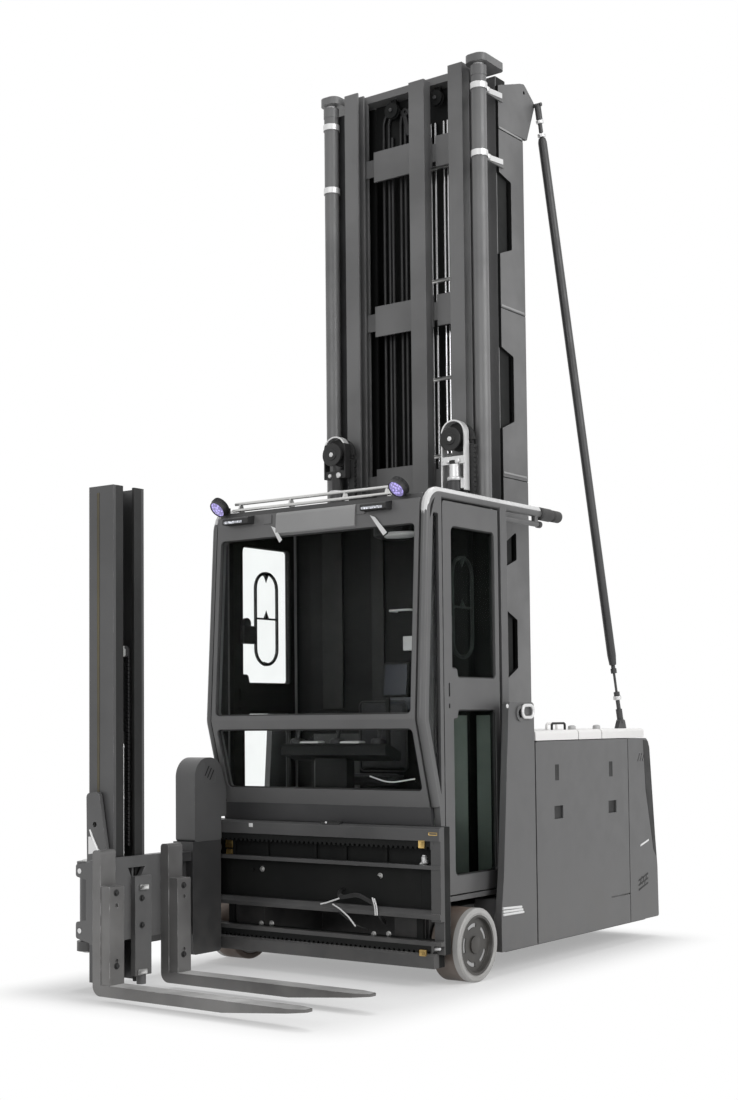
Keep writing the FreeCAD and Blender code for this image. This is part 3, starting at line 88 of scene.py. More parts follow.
class NodeDesk:
    """A node tree with short words for the nodes that the finishes share."""

    def __init__(self, tree: bpy.types.NodeTree) -> None:
        """Takes a new tree and finds its shader, if it has one."""
        self.tree = tree
        self.shader = tree.nodes.get("Principled BSDF")

    def add(self, kind: str, **settings: object) -> bpy.types.Node:
        """Adds a node.

        Args:
            kind: The node's type name.
            **settings: Attributes to set on it.

        Returns:
            The new node.
        """
        node = self.tree.nodes.new(kind)
        for name, value in settings.items():
            setattr(node, name, value)
        return node

    def join(self, source: object, target: Socket) -> None:
        """Links a socket to another, or writes a constant into it."""
        if isinstance(source, Socket):
            self.tree.links.new(source, target)
        elif isinstance(source, tuple):
            target.default_value = (*source, 1.0)[:len(target.default_value)]
        else:
            target.default_value = source

    def use(self, kind: str, output: int | str, wires: dict[int | str, object],
            **settings: object) -> Socket:
        """Adds a node and wires it up.

        Args:
            kind: The node's type name.
            output: Which output is wanted.
            wires: The source of each input that isn't left alone.
            **settings: Attributes to set on the node.

        Returns:
            The output.
        """
        node = self.add(kind, **settings)
        for name, source in wires.items():
            self.join(source, node.inputs[name])
        return node.outputs[output]

    def place(self) -> Socket:
        """Where a point is, in the row's frame."""
        return self.use("ShaderNodeTexCoord", "Object", {})

    def noise(self, place: Socket, scale: float, detail: float) -> Socket:
        """Soft noise at so many cells to the metre."""
        return self.use("ShaderNodeTexNoise", "Fac",
                        {"Vector": place, "Scale": scale, "Detail": detail})

    def ramp(self, value: Socket, low: float, high: float, first: float = 0.0,
             last: float = 1.0) -> Socket:
        """Stretches a value from one range to another, held at its ends."""
        return self.use("ShaderNodeMapRange", "Result",
                        {"Value": value, "From Min": low, "From Max": high, "To Min": first,
                         "To Max": last}, interpolation_type="SMOOTHSTEP")

    def sums(self, operation: str, first: object, second: object = 0.0) -> Socket:
        """A math node on two values."""
        return self.use("ShaderNodeMath", 0, {0: first, 1: second}, operation=operation)

    def vectors(self, operation: str, first: object, second: object,
                output: str = "Vector") -> Socket:
        """A vector math node on two vectors."""
        return self.use("ShaderNodeVectorMath", output, {0: first, 1: second},
                        operation=operation)

    def length(self, vector: Socket) -> Socket:
        """A vector's length."""
        return self.use("ShaderNodeVectorMath", "Value", {0: vector}, operation="LENGTH")

    def mixed(self, amount: object, first: object, second: object) -> Socket:
        """Mixes two numbers by an amount."""
        return self.use("ShaderNodeMix", 0, {0: amount, 2: first, 3: second},
                        data_type="FLOAT")

    def blend(self, amount: object, first: object, second: object) -> Socket:
        """Mixes two colours by an amount."""
        return self.use("ShaderNodeMix", 2, {0: amount, 6: first, 7: second}, data_type="RGBA")

    def rounded_edge(self, radius: float) -> Socket:
        """A normal that runs round sharp edges."""
        return self.use("ShaderNodeBevel", "Normal", {"Radius": radius}, samples=4)

    def edge_mask(self, edge: Socket, place: Socket) -> Socket:
        """Where a sharp edge is rubbed, broken up so that it is not a drawn line."""
        true = self.use("ShaderNodeNewGeometry", "Normal", {})
        near = self.ramp(self.vectors("DOT_PRODUCT", true, edge, "Value"), 0.86, 0.99, 1.0, 0.0)
        return self.sums("MULTIPLY", near, self.ramp(self.noise(place, 14.0, 5), 0.47, 0.62))

    def dust_mask(self, place: Socket, smudge: Socket, most: float) -> Socket:
        """Where pale dust lies: thick at the floor and thinning upwards in patches."""
        height = self.use("ShaderNodeSeparateXYZ", "Z", {0: place})
        low = self.ramp(height, 0.04, 0.75, most, 0.0)
        return self.sums("MULTIPLY", low, self.ramp(smudge, 0.35, 0.65, 0.3, 1.0))

    def grain(self, kind: Grain, place: Socket, size: float) -> Socket:
        """The height pattern of a surface.

        Args:
            kind: Which pattern.
            place: Where on the piece.
            size: Size of one grain.

        Returns:
            A value from 0 to 1.
        """
        cells = 1 / size
        if kind is Grain.BRUSHED:
            lines = self.use("ShaderNodeMapping", "Vector",
                             {"Vector": place, "Scale": (1.0, 1.0, 0.02)})
            return self.noise(lines, cells, 3)
        if kind is Grain.CAST:
            fine = self.sums("MULTIPLY", self.noise(place, cells, 2), 0.4)
            return self.sums("ADD", self.noise(place, 1 / (size * 6), 6), fine)
        if kind is Grain.MOULDED:
            return self.use("ShaderNodeTexVoronoi", "Distance",
                            {"Vector": place, "Scale": cells}, feature="SMOOTH_F1")
        if kind is Grain.WOVEN:
            threads = [self.use("ShaderNodeTexWave", "Fac",
                                {"Vector": place, "Scale": 0.3 / size, "Distortion": 0.4},
                                bands_direction=axis) for axis in "XZ"]
            return self.sums("MULTIPLY", *threads)
        return self.noise(place, cells, 2)


class Coating:
    """Anything that a piece can be painted with; it has a name."""

    name: str

    def material(self) -> bpy.types.Material:
        """Builds the node material, or finds it if it was built before.

        Returns:
            The coating's material.
        """
        made = bpy.data.materials.get(self.name)
        if not made:
            made = bpy.data.materials.new(self.name)
            made.use_nodes = True
            self.paint(NodeDesk(made.node_tree))
        return made

    def paint(self, desk: NodeDesk) -> None:
        """Lays the coating on a new material's nodes."""
        raise NotImplementedError


@dataclass(frozen=True)
class Finish(Coating):
    """A procedural surface finish.

    Attributes:
        name: Material name.
        colour: Main linear colour.
        other: Linear colour that the main one drifts to in soft clouds.
        roughness: Lowest and highest roughness.
        grain: How the surface is broken up.
        size: Size of one grain.
        relief: Height of the grain.
        metallic: Metalness of the whole surface.
        worn: Linear colour that edges wear to, or None.
        rounding: Radius at which edges catch the light.
        dust: How strongly pale dust lies near the floor, 0 to 1.
        gloss: Strength of the mirror-like sheen; 0.5 is plain paint.
    """

    name: str
    colour: Colour
    other: Colour
    roughness: Span
    grain: Grain = Grain.PAINT
    size: float = 0.0012
    relief: float = 0.00004
    metallic: float = 0.0
    worn: Colour | None = None
    rounding: float = 0.0025
    dust: float = 0.0
    gloss: float = 0.5

    def paint(self, desk: NodeDesk) -> None:
        """Lays this finish on a new material's nodes."""
        place, edge = desk.place(), desk.rounded_edge(self.rounding)
        colour, roughness = self.surface(desk, place, edge)
        for name, source in (("Base Color", colour), ("Roughness", roughness),
                             ("Metallic", self.metallic), ("Specular IOR Level", self.gloss)):
            desk.join(source, desk.shader.inputs[name])
        self.emboss(desk, place, edge)

    def surface(self, desk: NodeDesk, place: Socket, edge: Socket) -> tuple[Socket, Socket]:
        """Works out this finish's colour and roughness.

        Args:
            desk: The material's nodes.
            place: Where on the piece.
            edge: The normal that runs round edges.

        Returns:
            The colour and the roughness.
        """
        smudge = desk.noise(place, 9.0, 3)
        colour = desk.blend(desk.ramp(desk.noise(place, 1.7, 4), 0.38, 0.66), self.colour,
                            self.other)
        if self.worn:
            colour = desk.blend(desk.edge_mask(edge, place), colour, self.worn)
        if self.dust:
            colour = desk.blend(desk.dust_mask(place, smudge, self.dust), colour, DUST_COLOUR)
        return colour, desk.ramp(smudge, 0.3, 0.7, *self.roughness)

    def emboss(self, desk: NodeDesk, place: Socket, edge: Socket) -> None:
        """Presses this finish's grain into the surface."""
        height = desk.grain(self.grain, place, self.size)
        desk.join(desk.use("ShaderNodeBump", "Normal",
                           {"Strength": 1.0, "Distance": self.relief, "Height": height,
                            "Normal": edge}), desk.shader.inputs["Normal"])


@dataclass(frozen=True)
class Zone:
    """A part of the truck's space: a box, or a drum along x if it has a radius.

    Attributes:
        low: Its lowest corner in the truck frame.
        high: Its highest corner.
        radius: The drum's radius, or 0 for a box.
    """

    low: Spot
    high: Spot
    radius: float = 0.0

    def mask(self, desk: NodeDesk, place: Socket) -> Socket:
        """1 inside the zone and 0 outside it.

        Args:
            desk: The material's nodes.
            place: Where on the piece, in the row's frame.

        Returns:
            The mask.
        """
        low, high = at(*self.low), at(*self.high)
        offset = desk.vectors("SUBTRACT", place, tuple((low + high) / 2))
        apart = desk.vectors("ABSOLUTE", offset, (0.0, 0.0, 0.0))
        gap = desk.add("ShaderNodeSeparateXYZ")
        desk.join(desk.vectors("SUBTRACT", apart, tuple((high - low) / 2)), gap.inputs[0])
        if self.radius:
            reach = desk.length(desk.vectors("MULTIPLY", offset, (0.0, 1.0, 1.0)))
            across = desk.sums("SUBTRACT", reach, self.radius)
        else:
            across = desk.sums("MAXIMUM", gap.outputs["Y"], gap.outputs["Z"])
        return desk.sums("LESS_THAN", desk.sums("MAXIMUM", gap.outputs["X"], across), 0.0)


@dataclass(frozen=True)
class TwoTone(Coating):
    """One finish outside some zones and another one inside them.

    Attributes:
        name: Material name.
        outside: The main finish.
        inside: The finish inside the zones.
        zones: Where the second finish is.
    """

    name: str
    outside: Finish
    inside: Finish
    zones: tuple[Zone, ...]

    def paint(self, desk: NodeDesk) -> None:
        """Lays both finishes and parts them by the zones' masks."""
        outer, inner, sockets = self.outside, self.inside, desk.shader.inputs
        place, edge = desk.place(), desk.rounded_edge(outer.rounding)
        mask = self.zones[0].mask(desk, place)
        for zone in self.zones[1:]:
            mask = desk.sums("MAXIMUM", mask, zone.mask(desk, place))
        first, second = (finish.surface(desk, place, edge) for finish in (outer, inner))
        desk.join(desk.blend(mask, first[0], second[0]), sockets["Base Color"])
        desk.join(desk.mixed(mask, first[1], second[1]), sockets["Roughness"])
        for name, one, two in (("Metallic", outer.metallic, inner.metallic),
                               ("Specular IOR Level", outer.gloss, inner.gloss)):
            desk.join(one if one == two else desk.mixed(mask, one, two), sockets[name])
        outer.emboss(desk, place, edge)


@dataclass(frozen=True)
class Glazing(Coating):
    """Window glass, nearly clear.

    Attributes:
        name: Material name.
        tint: Linear colour of light that has passed through.
    """

    name: str
    tint: Colour

    def paint(self, desk: NodeDesk) -> None:
        """Makes the glass clear, with a faint film."""
        film = desk.ramp(desk.noise(desk.place(), 5.0, 4), 0.35, 0.75)
        dimmed = tuple(part * 0.97 for part in self.tint)
        for name, source in (("Transmission Weight", 1.0), ("IOR", 1.03), ("Roughness", 0.0),
                             ("Base Color", desk.blend(film, self.tint, dimmed))):
            desk.join(source, desk.shader.inputs[name])


@dataclass(frozen=True)
class Glow(Coating):
    """A lit lens.

    Attributes:
        name: Material name.
        colour: Linear colour of the light.
        strength: How bright it is.
    """

    name: str
    colour: Colour
    strength: float

    def paint(self, desk: NodeDesk) -> None:
        """Lights the lens's cells."""
        cell = desk.use("ShaderNodeTexVoronoi", "Distance",
                        {"Vector": desk.place(), "Scale": 70.0})
        shade = tuple(part * 0.35 for part in self.colour)
        lit = desk.blend(desk.ramp(cell, 0.1, 0.6), self.colour, shade)
        for name, source in (("Base Color", lit), ("Emission Color", lit), ("Roughness", 0.12),
                             ("Emission Strength", self.strength)):
            desk.join(source, desk.shader.inputs[name])


class Look:
    """Every finish on the truck, by a plain name."""

    BODY = Finish("body paint, warm grey", grey(0.108), grey(0.094), (0.30, 0.42),
                  worn=even(0.30), dust=0.10)
    # Painted light: the cab front has the body's paint, made lighter here for the brighter light
    # on its front and the highlight on its corner tube.
    BODY_LIT_FRONT = Finish("body paint, painted lighter on the cab front", grey(0.150), grey(0.134), (0.30, 0.42),
                   worn=even(0.26))
    MAST = Finish("mast paint, warm grey", grey(0.175), grey(0.128), (0.32, 0.46),
                  worn=even(0.36))
    SIDE = Finish("mast plate paint, warm grey", grey(0.155), grey(0.108), (0.32, 0.46),
                  worn=even(0.36))
    BEAM = Finish("traverse beam paint, grey", grey(0.080), grey(0.060), (0.34, 0.48),
                  worn=even(0.24), dust=0.10)
    FRAME = Finish("frame paint, dark grey", (0.040, 0.040, 0.042), grey(0.030),
                   (0.38, 0.52), worn=even(0.16), dust=0.12)
    # Near black: the cab's dark inside lining, and also painted shade where it darkens the
    # mast's rails, plates and head inside.
    LINING_AND_SHADE = Finish("near black, inside lining and painted shade", (0.008, 0.0085, 0.0085),
                    (0.012, 0.0125, 0.0120), (0.55, 0.68), Grain.CAST, 0.012, 0.00003,
                    gloss=0.18)
    LINING = Finish("inside trim, charcoal", (0.018, 0.0185, 0.0180),
                    (0.024, 0.0245, 0.0240), (0.55, 0.68), Grain.CAST, 0.012, 0.00003,
                    gloss=0.22)
    SLIDE = Finish("slide strip, brown", (0.100, 0.082, 0.036), (0.060, 0.050, 0.026),
                   (0.36, 0.50), rounding=0.001)
    # Painted highlight: a bright skin on each blade's top stands in for the light that the top
    # reflects.
    BLADE_TOP_HIGHLIGHT = Finish("fork top, painted highlight", (0.66, 0.655, 0.65), (0.36, 0.357, 0.353),
                     (0.34, 0.50), Grain.BRUSHED, 0.002, 0.00006, metallic=0.20,
                     rounding=0.0005)
    HEAD = Finish("fork head paint, grey", grey(0.122), grey(0.098), (0.32, 0.46),
                  worn=even(0.34), dust=0.08)
    ARM = Finish("turret paint, dark grey", grey(0.060), grey(0.044), (0.34, 0.48),
                 worn=even(0.22), dust=0.08)
    HEADER = Finish("header paint, light grey", grey(0.340), grey(0.300), (0.28, 0.38),
                    worn=even(0.40))
    LID = Finish("moulded lid, pale", (0.90, 0.89, 0.88), (0.82, 0.81, 0.80), (0.42, 0.55),
                 Grain.MOULDED, 0.0022, 0.00006, rounding=0.004)
    BLACK = Finish("moulded plastic, black", grey(0.014), even(0.022), (0.42, 0.58),
                   Grain.MOULDED, 0.0016, 0.00008)
    RUBBER = Finish("rubber, charcoal", grey(0.036), (0.052, 0.051, 0.050), (0.55, 0.70),
                    Grain.CAST, 0.0016, 0.00012, rounding=0.004)
    SEAL = Finish("window seal, black", even(0.010), even(0.018), (0.50, 0.64), Grain.CAST,
                  0.0012, 0.00005, rounding=0.001)
    TREAD = Finish("wheel tread, brown", (0.230, 0.165, 0.130), (0.120, 0.092, 0.076),
                   (0.42, 0.60), Grain.CAST, 0.0018, 0.00015, rounding=0.005, dust=0.25)
    RIM = Finish("wheel rim paint, silver grey", (0.56, 0.555, 0.545), (0.40, 0.395, 0.385),
                 (0.34, 0.48), worn=(0.10, 0.09, 0.08), dust=0.10)
    DISC = Finish("wheel disc paint, olive black", (0.020, 0.020, 0.018),
                  (0.030, 0.028, 0.025), (0.36, 0.50), worn=(0.14, 0.13, 0.12), dust=0.10)
    STEEL = Finish("drawn steel, zinc plated", (0.62, 0.62, 0.61), (0.50, 0.50, 0.49),
                   (0.26, 0.40), Grain.BRUSHED, 0.0006, 0.00002, metallic=1.0,
                   rounding=0.0015)
    CHROME = Finish("piston rod, polished", (0.74, 0.74, 0.75), (0.66, 0.66, 0.67),
                    (0.08, 0.16), Grain.BRUSHED, 0.0004, 0.000006, metallic=1.0)
    FORGED = Finish("forged steel, blackened", (0.170, 0.168, 0.167), (0.095, 0.093, 0.092),
                    (0.30, 0.46), Grain.CAST, 0.0022, 0.00020, metallic=0.35,
                    worn=even(0.40), rounding=0.004, dust=0.10)
    BLADE = Finish("forged steel, scuffed", (0.190, 0.188, 0.186), (0.105, 0.103, 0.102),
                   (0.30, 0.46), Grain.CAST, 0.0022, 0.00020, metallic=0.35,
                   worn=even(0.50), rounding=0.004, dust=0.10)
    SEAT = Finish("seat cloth, black", (0.022, 0.022, 0.024), (0.034, 0.034, 0.036),
                  (0.80, 0.92), Grain.WOVEN, 0.0016, 0.0003, rounding=0.004)
    BRASS = Finish("brass, drawn", (0.60, 0.42, 0.16), (0.45, 0.31, 0.12), (0.28, 0.42),
                   Grain.BRUSHED, 0.0006, 0.00002, metallic=1.0, rounding=0.001)
    BRIGHT = Finish("zinc bright", even(0.80), even(0.70), (0.30, 0.42), Grain.BRUSHED,
                    0.0006, 0.00002, metallic=0.5, rounding=0.0015)
    PALE = Finish("silver paint, pale", even(0.52), even(0.46), (0.30, 0.42), rounding=0.003)
    # Painted highlight: a pale rod along the top of each roof tube stands in for the light that
    # the tube's rounded top catches.
    TUBE_TOP_HIGHLIGHT = Finish("roof tube tops, painted highlight", even(0.74), even(0.60), (0.22, 0.34),
                   rounding=0.003)
    KICK = Finish("kick panel, grey", (0.055, 0.056, 0.055), (0.040, 0.041, 0.040),
                  (0.45, 0.60), gloss=0.3)
    WALL = Finish("wall panel, light grey", (0.34, 0.36, 0.34), (0.22, 0.24, 0.22),
                  (0.45, 0.60), gloss=0.3)
    POST = Finish("auxiliary mast paint, grey", grey(0.094), grey(0.076), (0.32, 0.46),
                  worn=even(0.30))
    WHITE = Finish("white plastic", even(0.86), even(0.80), (0.36, 0.46), Grain.MOULDED,
                   0.0016, 0.00003, rounding=0.001)
    SLATE = Finish("dark glass panel, blue grey", (0.030, 0.033, 0.040),
                   (0.022, 0.024, 0.030), (0.14, 0.22), rounding=0.002)
    GLASS = Glazing("window glass, clear", (0.97, 0.985, 0.98))
    # Painted shade: only the left door's glass is dimmed, which darkens the cab seen through it.
    SHADE = Glazing("window glass, dimmed as painted shade", (0.50, 0.56, 0.53))
    LENS = Glow("lamp lens, violet blue", (0.52, 0.45, 0.96), 0.80)
    STRIP = Glow("light strip, cold white", (0.72, 0.74, 0.80), 0.75)
    HUB = TwoTone("load wheel, rim and disc", RIM, DISC, (
        Zone((0.800, 0.4, 0.1), (0.9, 0.528, 0.286), 0.157),
        Zone((-0.9, 0.4, 0.1), (-0.800, 0.528, 0.286), 0.157)))
    TYRE = TwoTone("load tyre, tread and flank", TREAD, RIM, (
        Zone((0.828, 0.2, -0.1), (0.9, 0.8, 0.5)), Zone((-0.9, 0.2, -0.1), (-0.828, 0.8, 0.5))))
    FREE_HEAD = TwoTone("free lift head, chain and bail", SEAL, BRIGHT, (
        Zone((0.3, 0.9465, 2.84), (0.6, 1.0025, 3.2)),
        Zone((-0.6, 0.9465, 3.055), (0.6, 1.0025, 3.2)),
        Zone((0.3, 0.930, 0.0), (0.6, 1.0025, 2.8435))))
    LIFT_RODS = TwoTone("mast pipes and hoses", CHROME, BLACK, (
        Zone((-0.30, 1.24, 0.2), (0.035, 1.285, 5.3)),))
    FIXED = TwoTone("fixed rails, lit and shaded", MAST, LINING_AND_SHADE, (
        Zone((-0.6, 1.312, 0.1), (0.6, 1.7, 5.4)),))
    # Painted shade: the plates' inner faces, inside the mast, are painted near black.
    PLATES = TwoTone("mast plates, outside, with painted shade inside", SIDE, LINING_AND_SHADE, (
        Zone((-0.5485, 1.0, 0.1), (0.5485, 1.9, 5.4)),))
    MIDDLE = TwoTone("second stage, lit and shaded", MAST, LINING_AND_SHADE, (
        Zone((-0.42, 1.212, 0.1), (0.42, 1.4, 5.21)),
        Zone((-0.30, 1.19, 5.06), (0.30, 1.24, 5.2165))))
    CAB_SIDE = TwoTone("cab sides, outside and lining", BODY, LINING_AND_SHADE, (
        Zone((-0.7135, 0.0, 0.3), (0.7135, 1.1, 2.7)),))
    DOOR = TwoTone("doors, outside and lining", BODY, LINING_AND_SHADE, (
        Zone((-0.7365, 0.3, 0.3), (0.7365, 1.0, 2.56)),))
    ROOF = TwoTone("roof, outside and lining", BODY, LINING_AND_SHADE, (
        Zone((-0.8, 0.0, 2.5), (0.8, 1.1, 2.5475)),))
    TRAVERSE = TwoTone("traverse, beams and racks", BEAM, LINING_AND_SHADE, (
        Zone((-0.9, 0.203, 0.05), (0.9, 0.2545, 0.9)),
        Zone((-0.768, 0.15, 0.700), (0.768, 0.205, 0.7515)),
        Zone((-0.768, 0.15, 0.177), (0.768, 0.205, 0.2155))))
    AUX = TwoTone("auxiliary mast, outside and channel", POST, SEAL, (
        Zone((-0.587, -0.903, 0.0), (-0.40, -0.717, 2.7)),))
    AUX_RAM = TwoTone("auxiliary ram and chain", BLACK, STEEL, (
        Zone((-0.6, -0.846, 0.0), (-0.4, -0.8145, 2.0)),))


NODE_LOOKS: dict[str, Coating] = {
    "chassis_frame": Look.FRAME, "front_uprights": Look.BODY, "side_panels": Look.BODY,
    "rear_cover": Look.BODY, "top_covers": Look.LID, "battery": Look.BLACK,
    "mast_side_plates": Look.PLATES, "fixed_rails": Look.FIXED, "lift_cylinders": Look.MAST,
    "mast_stays": Look.ARM, "middle_rails": Look.MIDDLE, "lift_rods": Look.LIFT_RODS,
    "inner_rails": Look.MAST, "free_lift_cylinders": Look.FRAME,
    "free_lift_heads": Look.FREE_HEAD, "cab_front": Look.BODY_LIT_FRONT, "cab_sides": Look.CAB_SIDE,
    "cab_floor": Look.FRAME, "cab_rear_wall": Look.LINING_AND_SHADE, "cab_roof": Look.ROOF,
    "roof_bars": Look.STEEL, "cab_buffers": Look.RUBBER, "windscreens": Look.GLASS,
    "seat": Look.SEAT, "control_desk": Look.LINING_AND_SHADE, "traverse_frame": Look.TRAVERSE,
    "roof_lamps": Look.BLACK, "door_left": Look.DOOR, "door_right": Look.DOOR,
    "door_glass_left": Look.SHADE, "door_glass_right": Look.GLASS,
    "turret_housing": Look.HEAD, "turret_arm": Look.ARM, "aux_mast": Look.AUX,
    "aux_ram_head": Look.AUX_RAM, "fork_carriage": Look.HEAD, "fork_front": Look.BLADE,
    "fork_rear": Look.FORGED, "load_tyre_left": Look.TYRE, "load_tyre_right": Look.TYRE,
    "load_hub_left": Look.HUB, "load_hub_right": Look.HUB, "drive_unit": Look.FRAME,
    "drive_tyre": Look.TREAD, "drive_hub": Look.RIM}


def dress_nodes() -> None:
    """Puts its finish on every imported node."""
    for node, finish in NODE_LOOKS.items():
        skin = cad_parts[node].data.materials
        skin.clear()
        skin.append(finish.material())
        LOG.info("dressed %s in %s", node, finish.name)


# ---------------------------------------------------------------- bench


FACING = 0.95  # how squarely a face has to look one way to be pressed
SHARP = math.radians(35)  # edges sharper than this are rounded
SAME_SPOT = 0.0002  # corners of a line that are closer than this are one
WELD = 0.00005  # points of a piece that are closer than this are one


class Bench:
    """The hand tools: each shapes or ends the object in hand."""

    @staticmethod
    def clear() -> None:
        """Leaves edit mode and deselects everything."""
        if bpy.context.object and bpy.context.object.mode != "OBJECT":
            bpy.ops.object.mode_set(mode="OBJECT")
        bpy.ops.object.select_all(action="DESELECT")
        bpy.context.view_layer.objects.active = None

    @staticmethod
    def hold(*pieces: bpy.types.Object) -> None:
        """Selects only these pieces and makes the first one active."""
        Bench.clear()
        for piece in pieces:
            piece.select_set(True)
        bpy.context.view_layer.objects.active = pieces[0]

    @staticmethod
    def open(kind: str = "VERT") -> None:
        """Goes into edit mode with the whole active piece selected."""
        bpy.ops.object.mode_set(mode="EDIT")
        bpy.ops.mesh.select_mode(type=kind)
        bpy.ops.mesh.select_all(action="SELECT")

    @staticmethod
    def settle() -> bpy.types.Object:
        """Writes the active piece's place, turn and size into its mesh."""
        bpy.ops.object.transform_apply(location=True, rotation=True, scale=True)
        return bpy.context.object

    @staticmethod
    def sink(piece: bpy.types.Object, way: Vector, rim: float, depth: float) -> None:
        """Insets the faces that look one way and presses them in.

        Args:
            piece: The piece to shape.
            way: The direction that the faces look in.
            rim: Width of the rim that is left.
            depth: How far the inside goes in, or out if it is less than 0.
        """
        Bench.hold(piece)
        Bench.open("FACE")
        bpy.ops.mesh.select_all(action="DESELECT")
        bpy.ops.object.mode_set(mode="OBJECT")
        for face in piece.data.polygons:
            face.select = face.normal.dot(way) > FACING
        bpy.ops.object.mode_set(mode="EDIT")
        bpy.ops.mesh.inset(thickness=rim, depth=-depth, use_individual=False)
        Bench.clear()

    @staticmethod
    def soften(piece: bpy.types.Object, width: float, rings: int) -> bpy.types.Object:
        """Rounds a piece's sharp edges."""
        Bench.hold(piece)
        edge = piece.modifiers.new("rounded edges", "BEVEL")
        edge.width = width
        edge.segments = rings
        edge.limit_method = "ANGLE"
        edge.angle_limit = SHARP
        bpy.ops.object.modifier_apply(modifier=edge.name)
        return piece

    @staticmethod
    def line(points: Sequence[Spot], closed: bool = False, bend: float = 0.0,
             steps: int = 6) -> bpy.types.Object:
        """Draws an edge line from point to point and rounds its corners.

        Args:
            points: The corners in the truck frame.
            closed: Whether the line comes back to its start.
            bend: How far from each corner the rounding starts.
            steps: Segments in each rounding.

        Returns:
            The line, as an object of edges.
        """
        Bench.clear()
        bpy.ops.mesh.primitive_circle_add(vertices=3, radius=0.01, location=at(*points[0]))
        Bench.settle()
        Bench.open()
        bpy.ops.mesh.merge(type="CENTER")
        ends = [*points, points[0]] if closed else points
        for start, end in zip(ends, ends[1:]):
            bpy.ops.mesh.extrude_vertices_move(
                TRANSFORM_OT_translate={"value": Vector(end) - Vector(start)})
        bpy.ops.mesh.select_all(action="SELECT")
        bpy.ops.mesh.remove_doubles(threshold=SAME_SPOT)
        if bend:
            bpy.ops.mesh.bevel(offset=bend, segments=steps, affect="VERTICES")
        bpy.ops.object.mode_set(mode="OBJECT")
        return bpy.context.object

    @staticmethod
    def close(piece: bpy.types.Object) -> bpy.types.Object:
        """Merges a piece's doubled points and turns its faces outwards."""
        Bench.hold(piece)
        Bench.open()
        bpy.ops.mesh.remove_doubles(threshold=WELD)
        bpy.ops.mesh.normals_make_consistent(inside=False)
        bpy.ops.object.mode_set(mode="OBJECT")
        return piece

    @staticmethod
    def copied(piece: bpy.types.Object, moves: Iterable[Spot]) -> bpy.types.Object:
        """Copies a piece to each offset, each copy with its own mesh, and joins them all."""
        made = [piece]
        for move in moves:
            Bench.hold(piece)
            bpy.ops.object.duplicate(linked=False)
            bpy.ops.transform.translate(value=move)
            made.append(bpy.context.object)
        return Bench.joined(made)

    @staticmethod
    def mirrored(piece: bpy.types.Object) -> bpy.types.Object:
        """Joins a piece with its mirror image on the truck's other side."""
        Bench.hold(piece)
        bpy.ops.object.duplicate(linked=False)
        bpy.ops.transform.resize(value=(-1, 1, 1), center_override=at(0, 0, 0))
        return Bench.joined([piece, Bench.close(Bench.settle())])

    @staticmethod
    def joined(pieces: Sequence[bpy.types.Object]) -> bpy.types.Object:
        """Joins pieces into the first one."""
        Bench.hold(*pieces)
        if len(pieces) > 1:
            bpy.ops.object.join()
        return Bench.settle()


# ---------------------------------------------------------------- shapes


@dataclass(frozen=True)
class Press:
    """How a blank is worked: one face pressed in, then its edges rounded.

    Attributes:
        way: The direction that the pressed face looks in, or None.
        rim: Width of the rim that is left round it.
        depth: How far it goes in, or out if less than 0.
        soft: Width of the rounded edges, or 0.
        rings: Segments in their rounding.
    """

    way: Vector | None = None
    rim: float = 0.0
    depth: float = 0.0
    soft: float = 0.0
    rings: int = 2

    def work(self, blank: bpy.types.Object) -> bpy.types.Object:
        """Works a blank and returns it."""
        if self.way is not None:
            Bench.sink(blank, self.way, self.rim, self.depth)
        return Bench.soften(blank, self.soft, self.rings) if self.soft else blank


def eased(soft: float, rings: int = 2) -> Press:
    """Only rounds a blank's edges."""
    return Press(soft=soft, rings=rings)


class Shape:
    """Anything that the bench can make."""

    def make(self) -> bpy.types.Object:
        """Builds the shape and returns it as a new object."""
        raise NotImplementedError


@dataclass(frozen=True)
class Block(Shape):
    """A block between spans of the truck frame.

    Attributes:
        x: Span along x.
        y: Span along y.
        z: Span along z.
        press: How it is worked.
    """

    x: Span
    y: Span
    z: Span
    press: Press = Press()

    def make(self) -> bpy.types.Object:
        """Builds the block and returns it."""
        Bench.clear()
        low, high = (at(*corner) for corner in zip(self.x, self.y, self.z))
        bpy.ops.mesh.primitive_cube_add(size=1, location=(low + high) / 2, scale=high - low)
        return self.press.work(Bench.settle())


@dataclass(frozen=True)
class Drum(Shape):
    """A drum with flats round it.

    Attributes:
        centre: Its middle in the truck frame.
        axis: The way it points.
        radius: Its radius.
        length: Its length.
        press: How it is worked.
        sides: How many flats go round it.
    """

    centre: Spot
    axis: Vector
    radius: float
    length: float
    press: Press
    sides: int = 32

    def make(self) -> bpy.types.Object:
        """Builds the drum and returns it."""
        Bench.clear()
        turn = UP.rotation_difference(self.axis).to_euler()
        bpy.ops.mesh.primitive_cylinder_add(vertices=self.sides, radius=self.radius,
                                            depth=self.length, location=at(*self.centre),
                                            rotation=turn)
        return self.press.work(Bench.settle())


@dataclass(frozen=True)
class Rod(Shape):
    """A round rod, hose or wire bent along a line.

    Attributes:
        points: The corners in the truck frame.
        radius: The rod's radius.
        bend: How far from each corner its bend starts.
        closed: Whether it is a closed loop.
        facets: How round its section is.
    """

    points: Sequence[Spot]
    radius: float
    bend: float = 0.0
    closed: bool = False
    facets: int = 3

    def make(self) -> bpy.types.Object:
        """Bends the rod and returns it."""
        Bench.line(self.points, self.closed, self.bend)
        bpy.ops.object.convert(target="CURVE")
        curve = bpy.context.object.data
        curve.bevel_depth = self.radius
        curve.bevel_resolution = self.facets
        curve.use_fill_caps = not self.closed
        bpy.ops.object.convert(target="MESH")
        return bpy.context.object


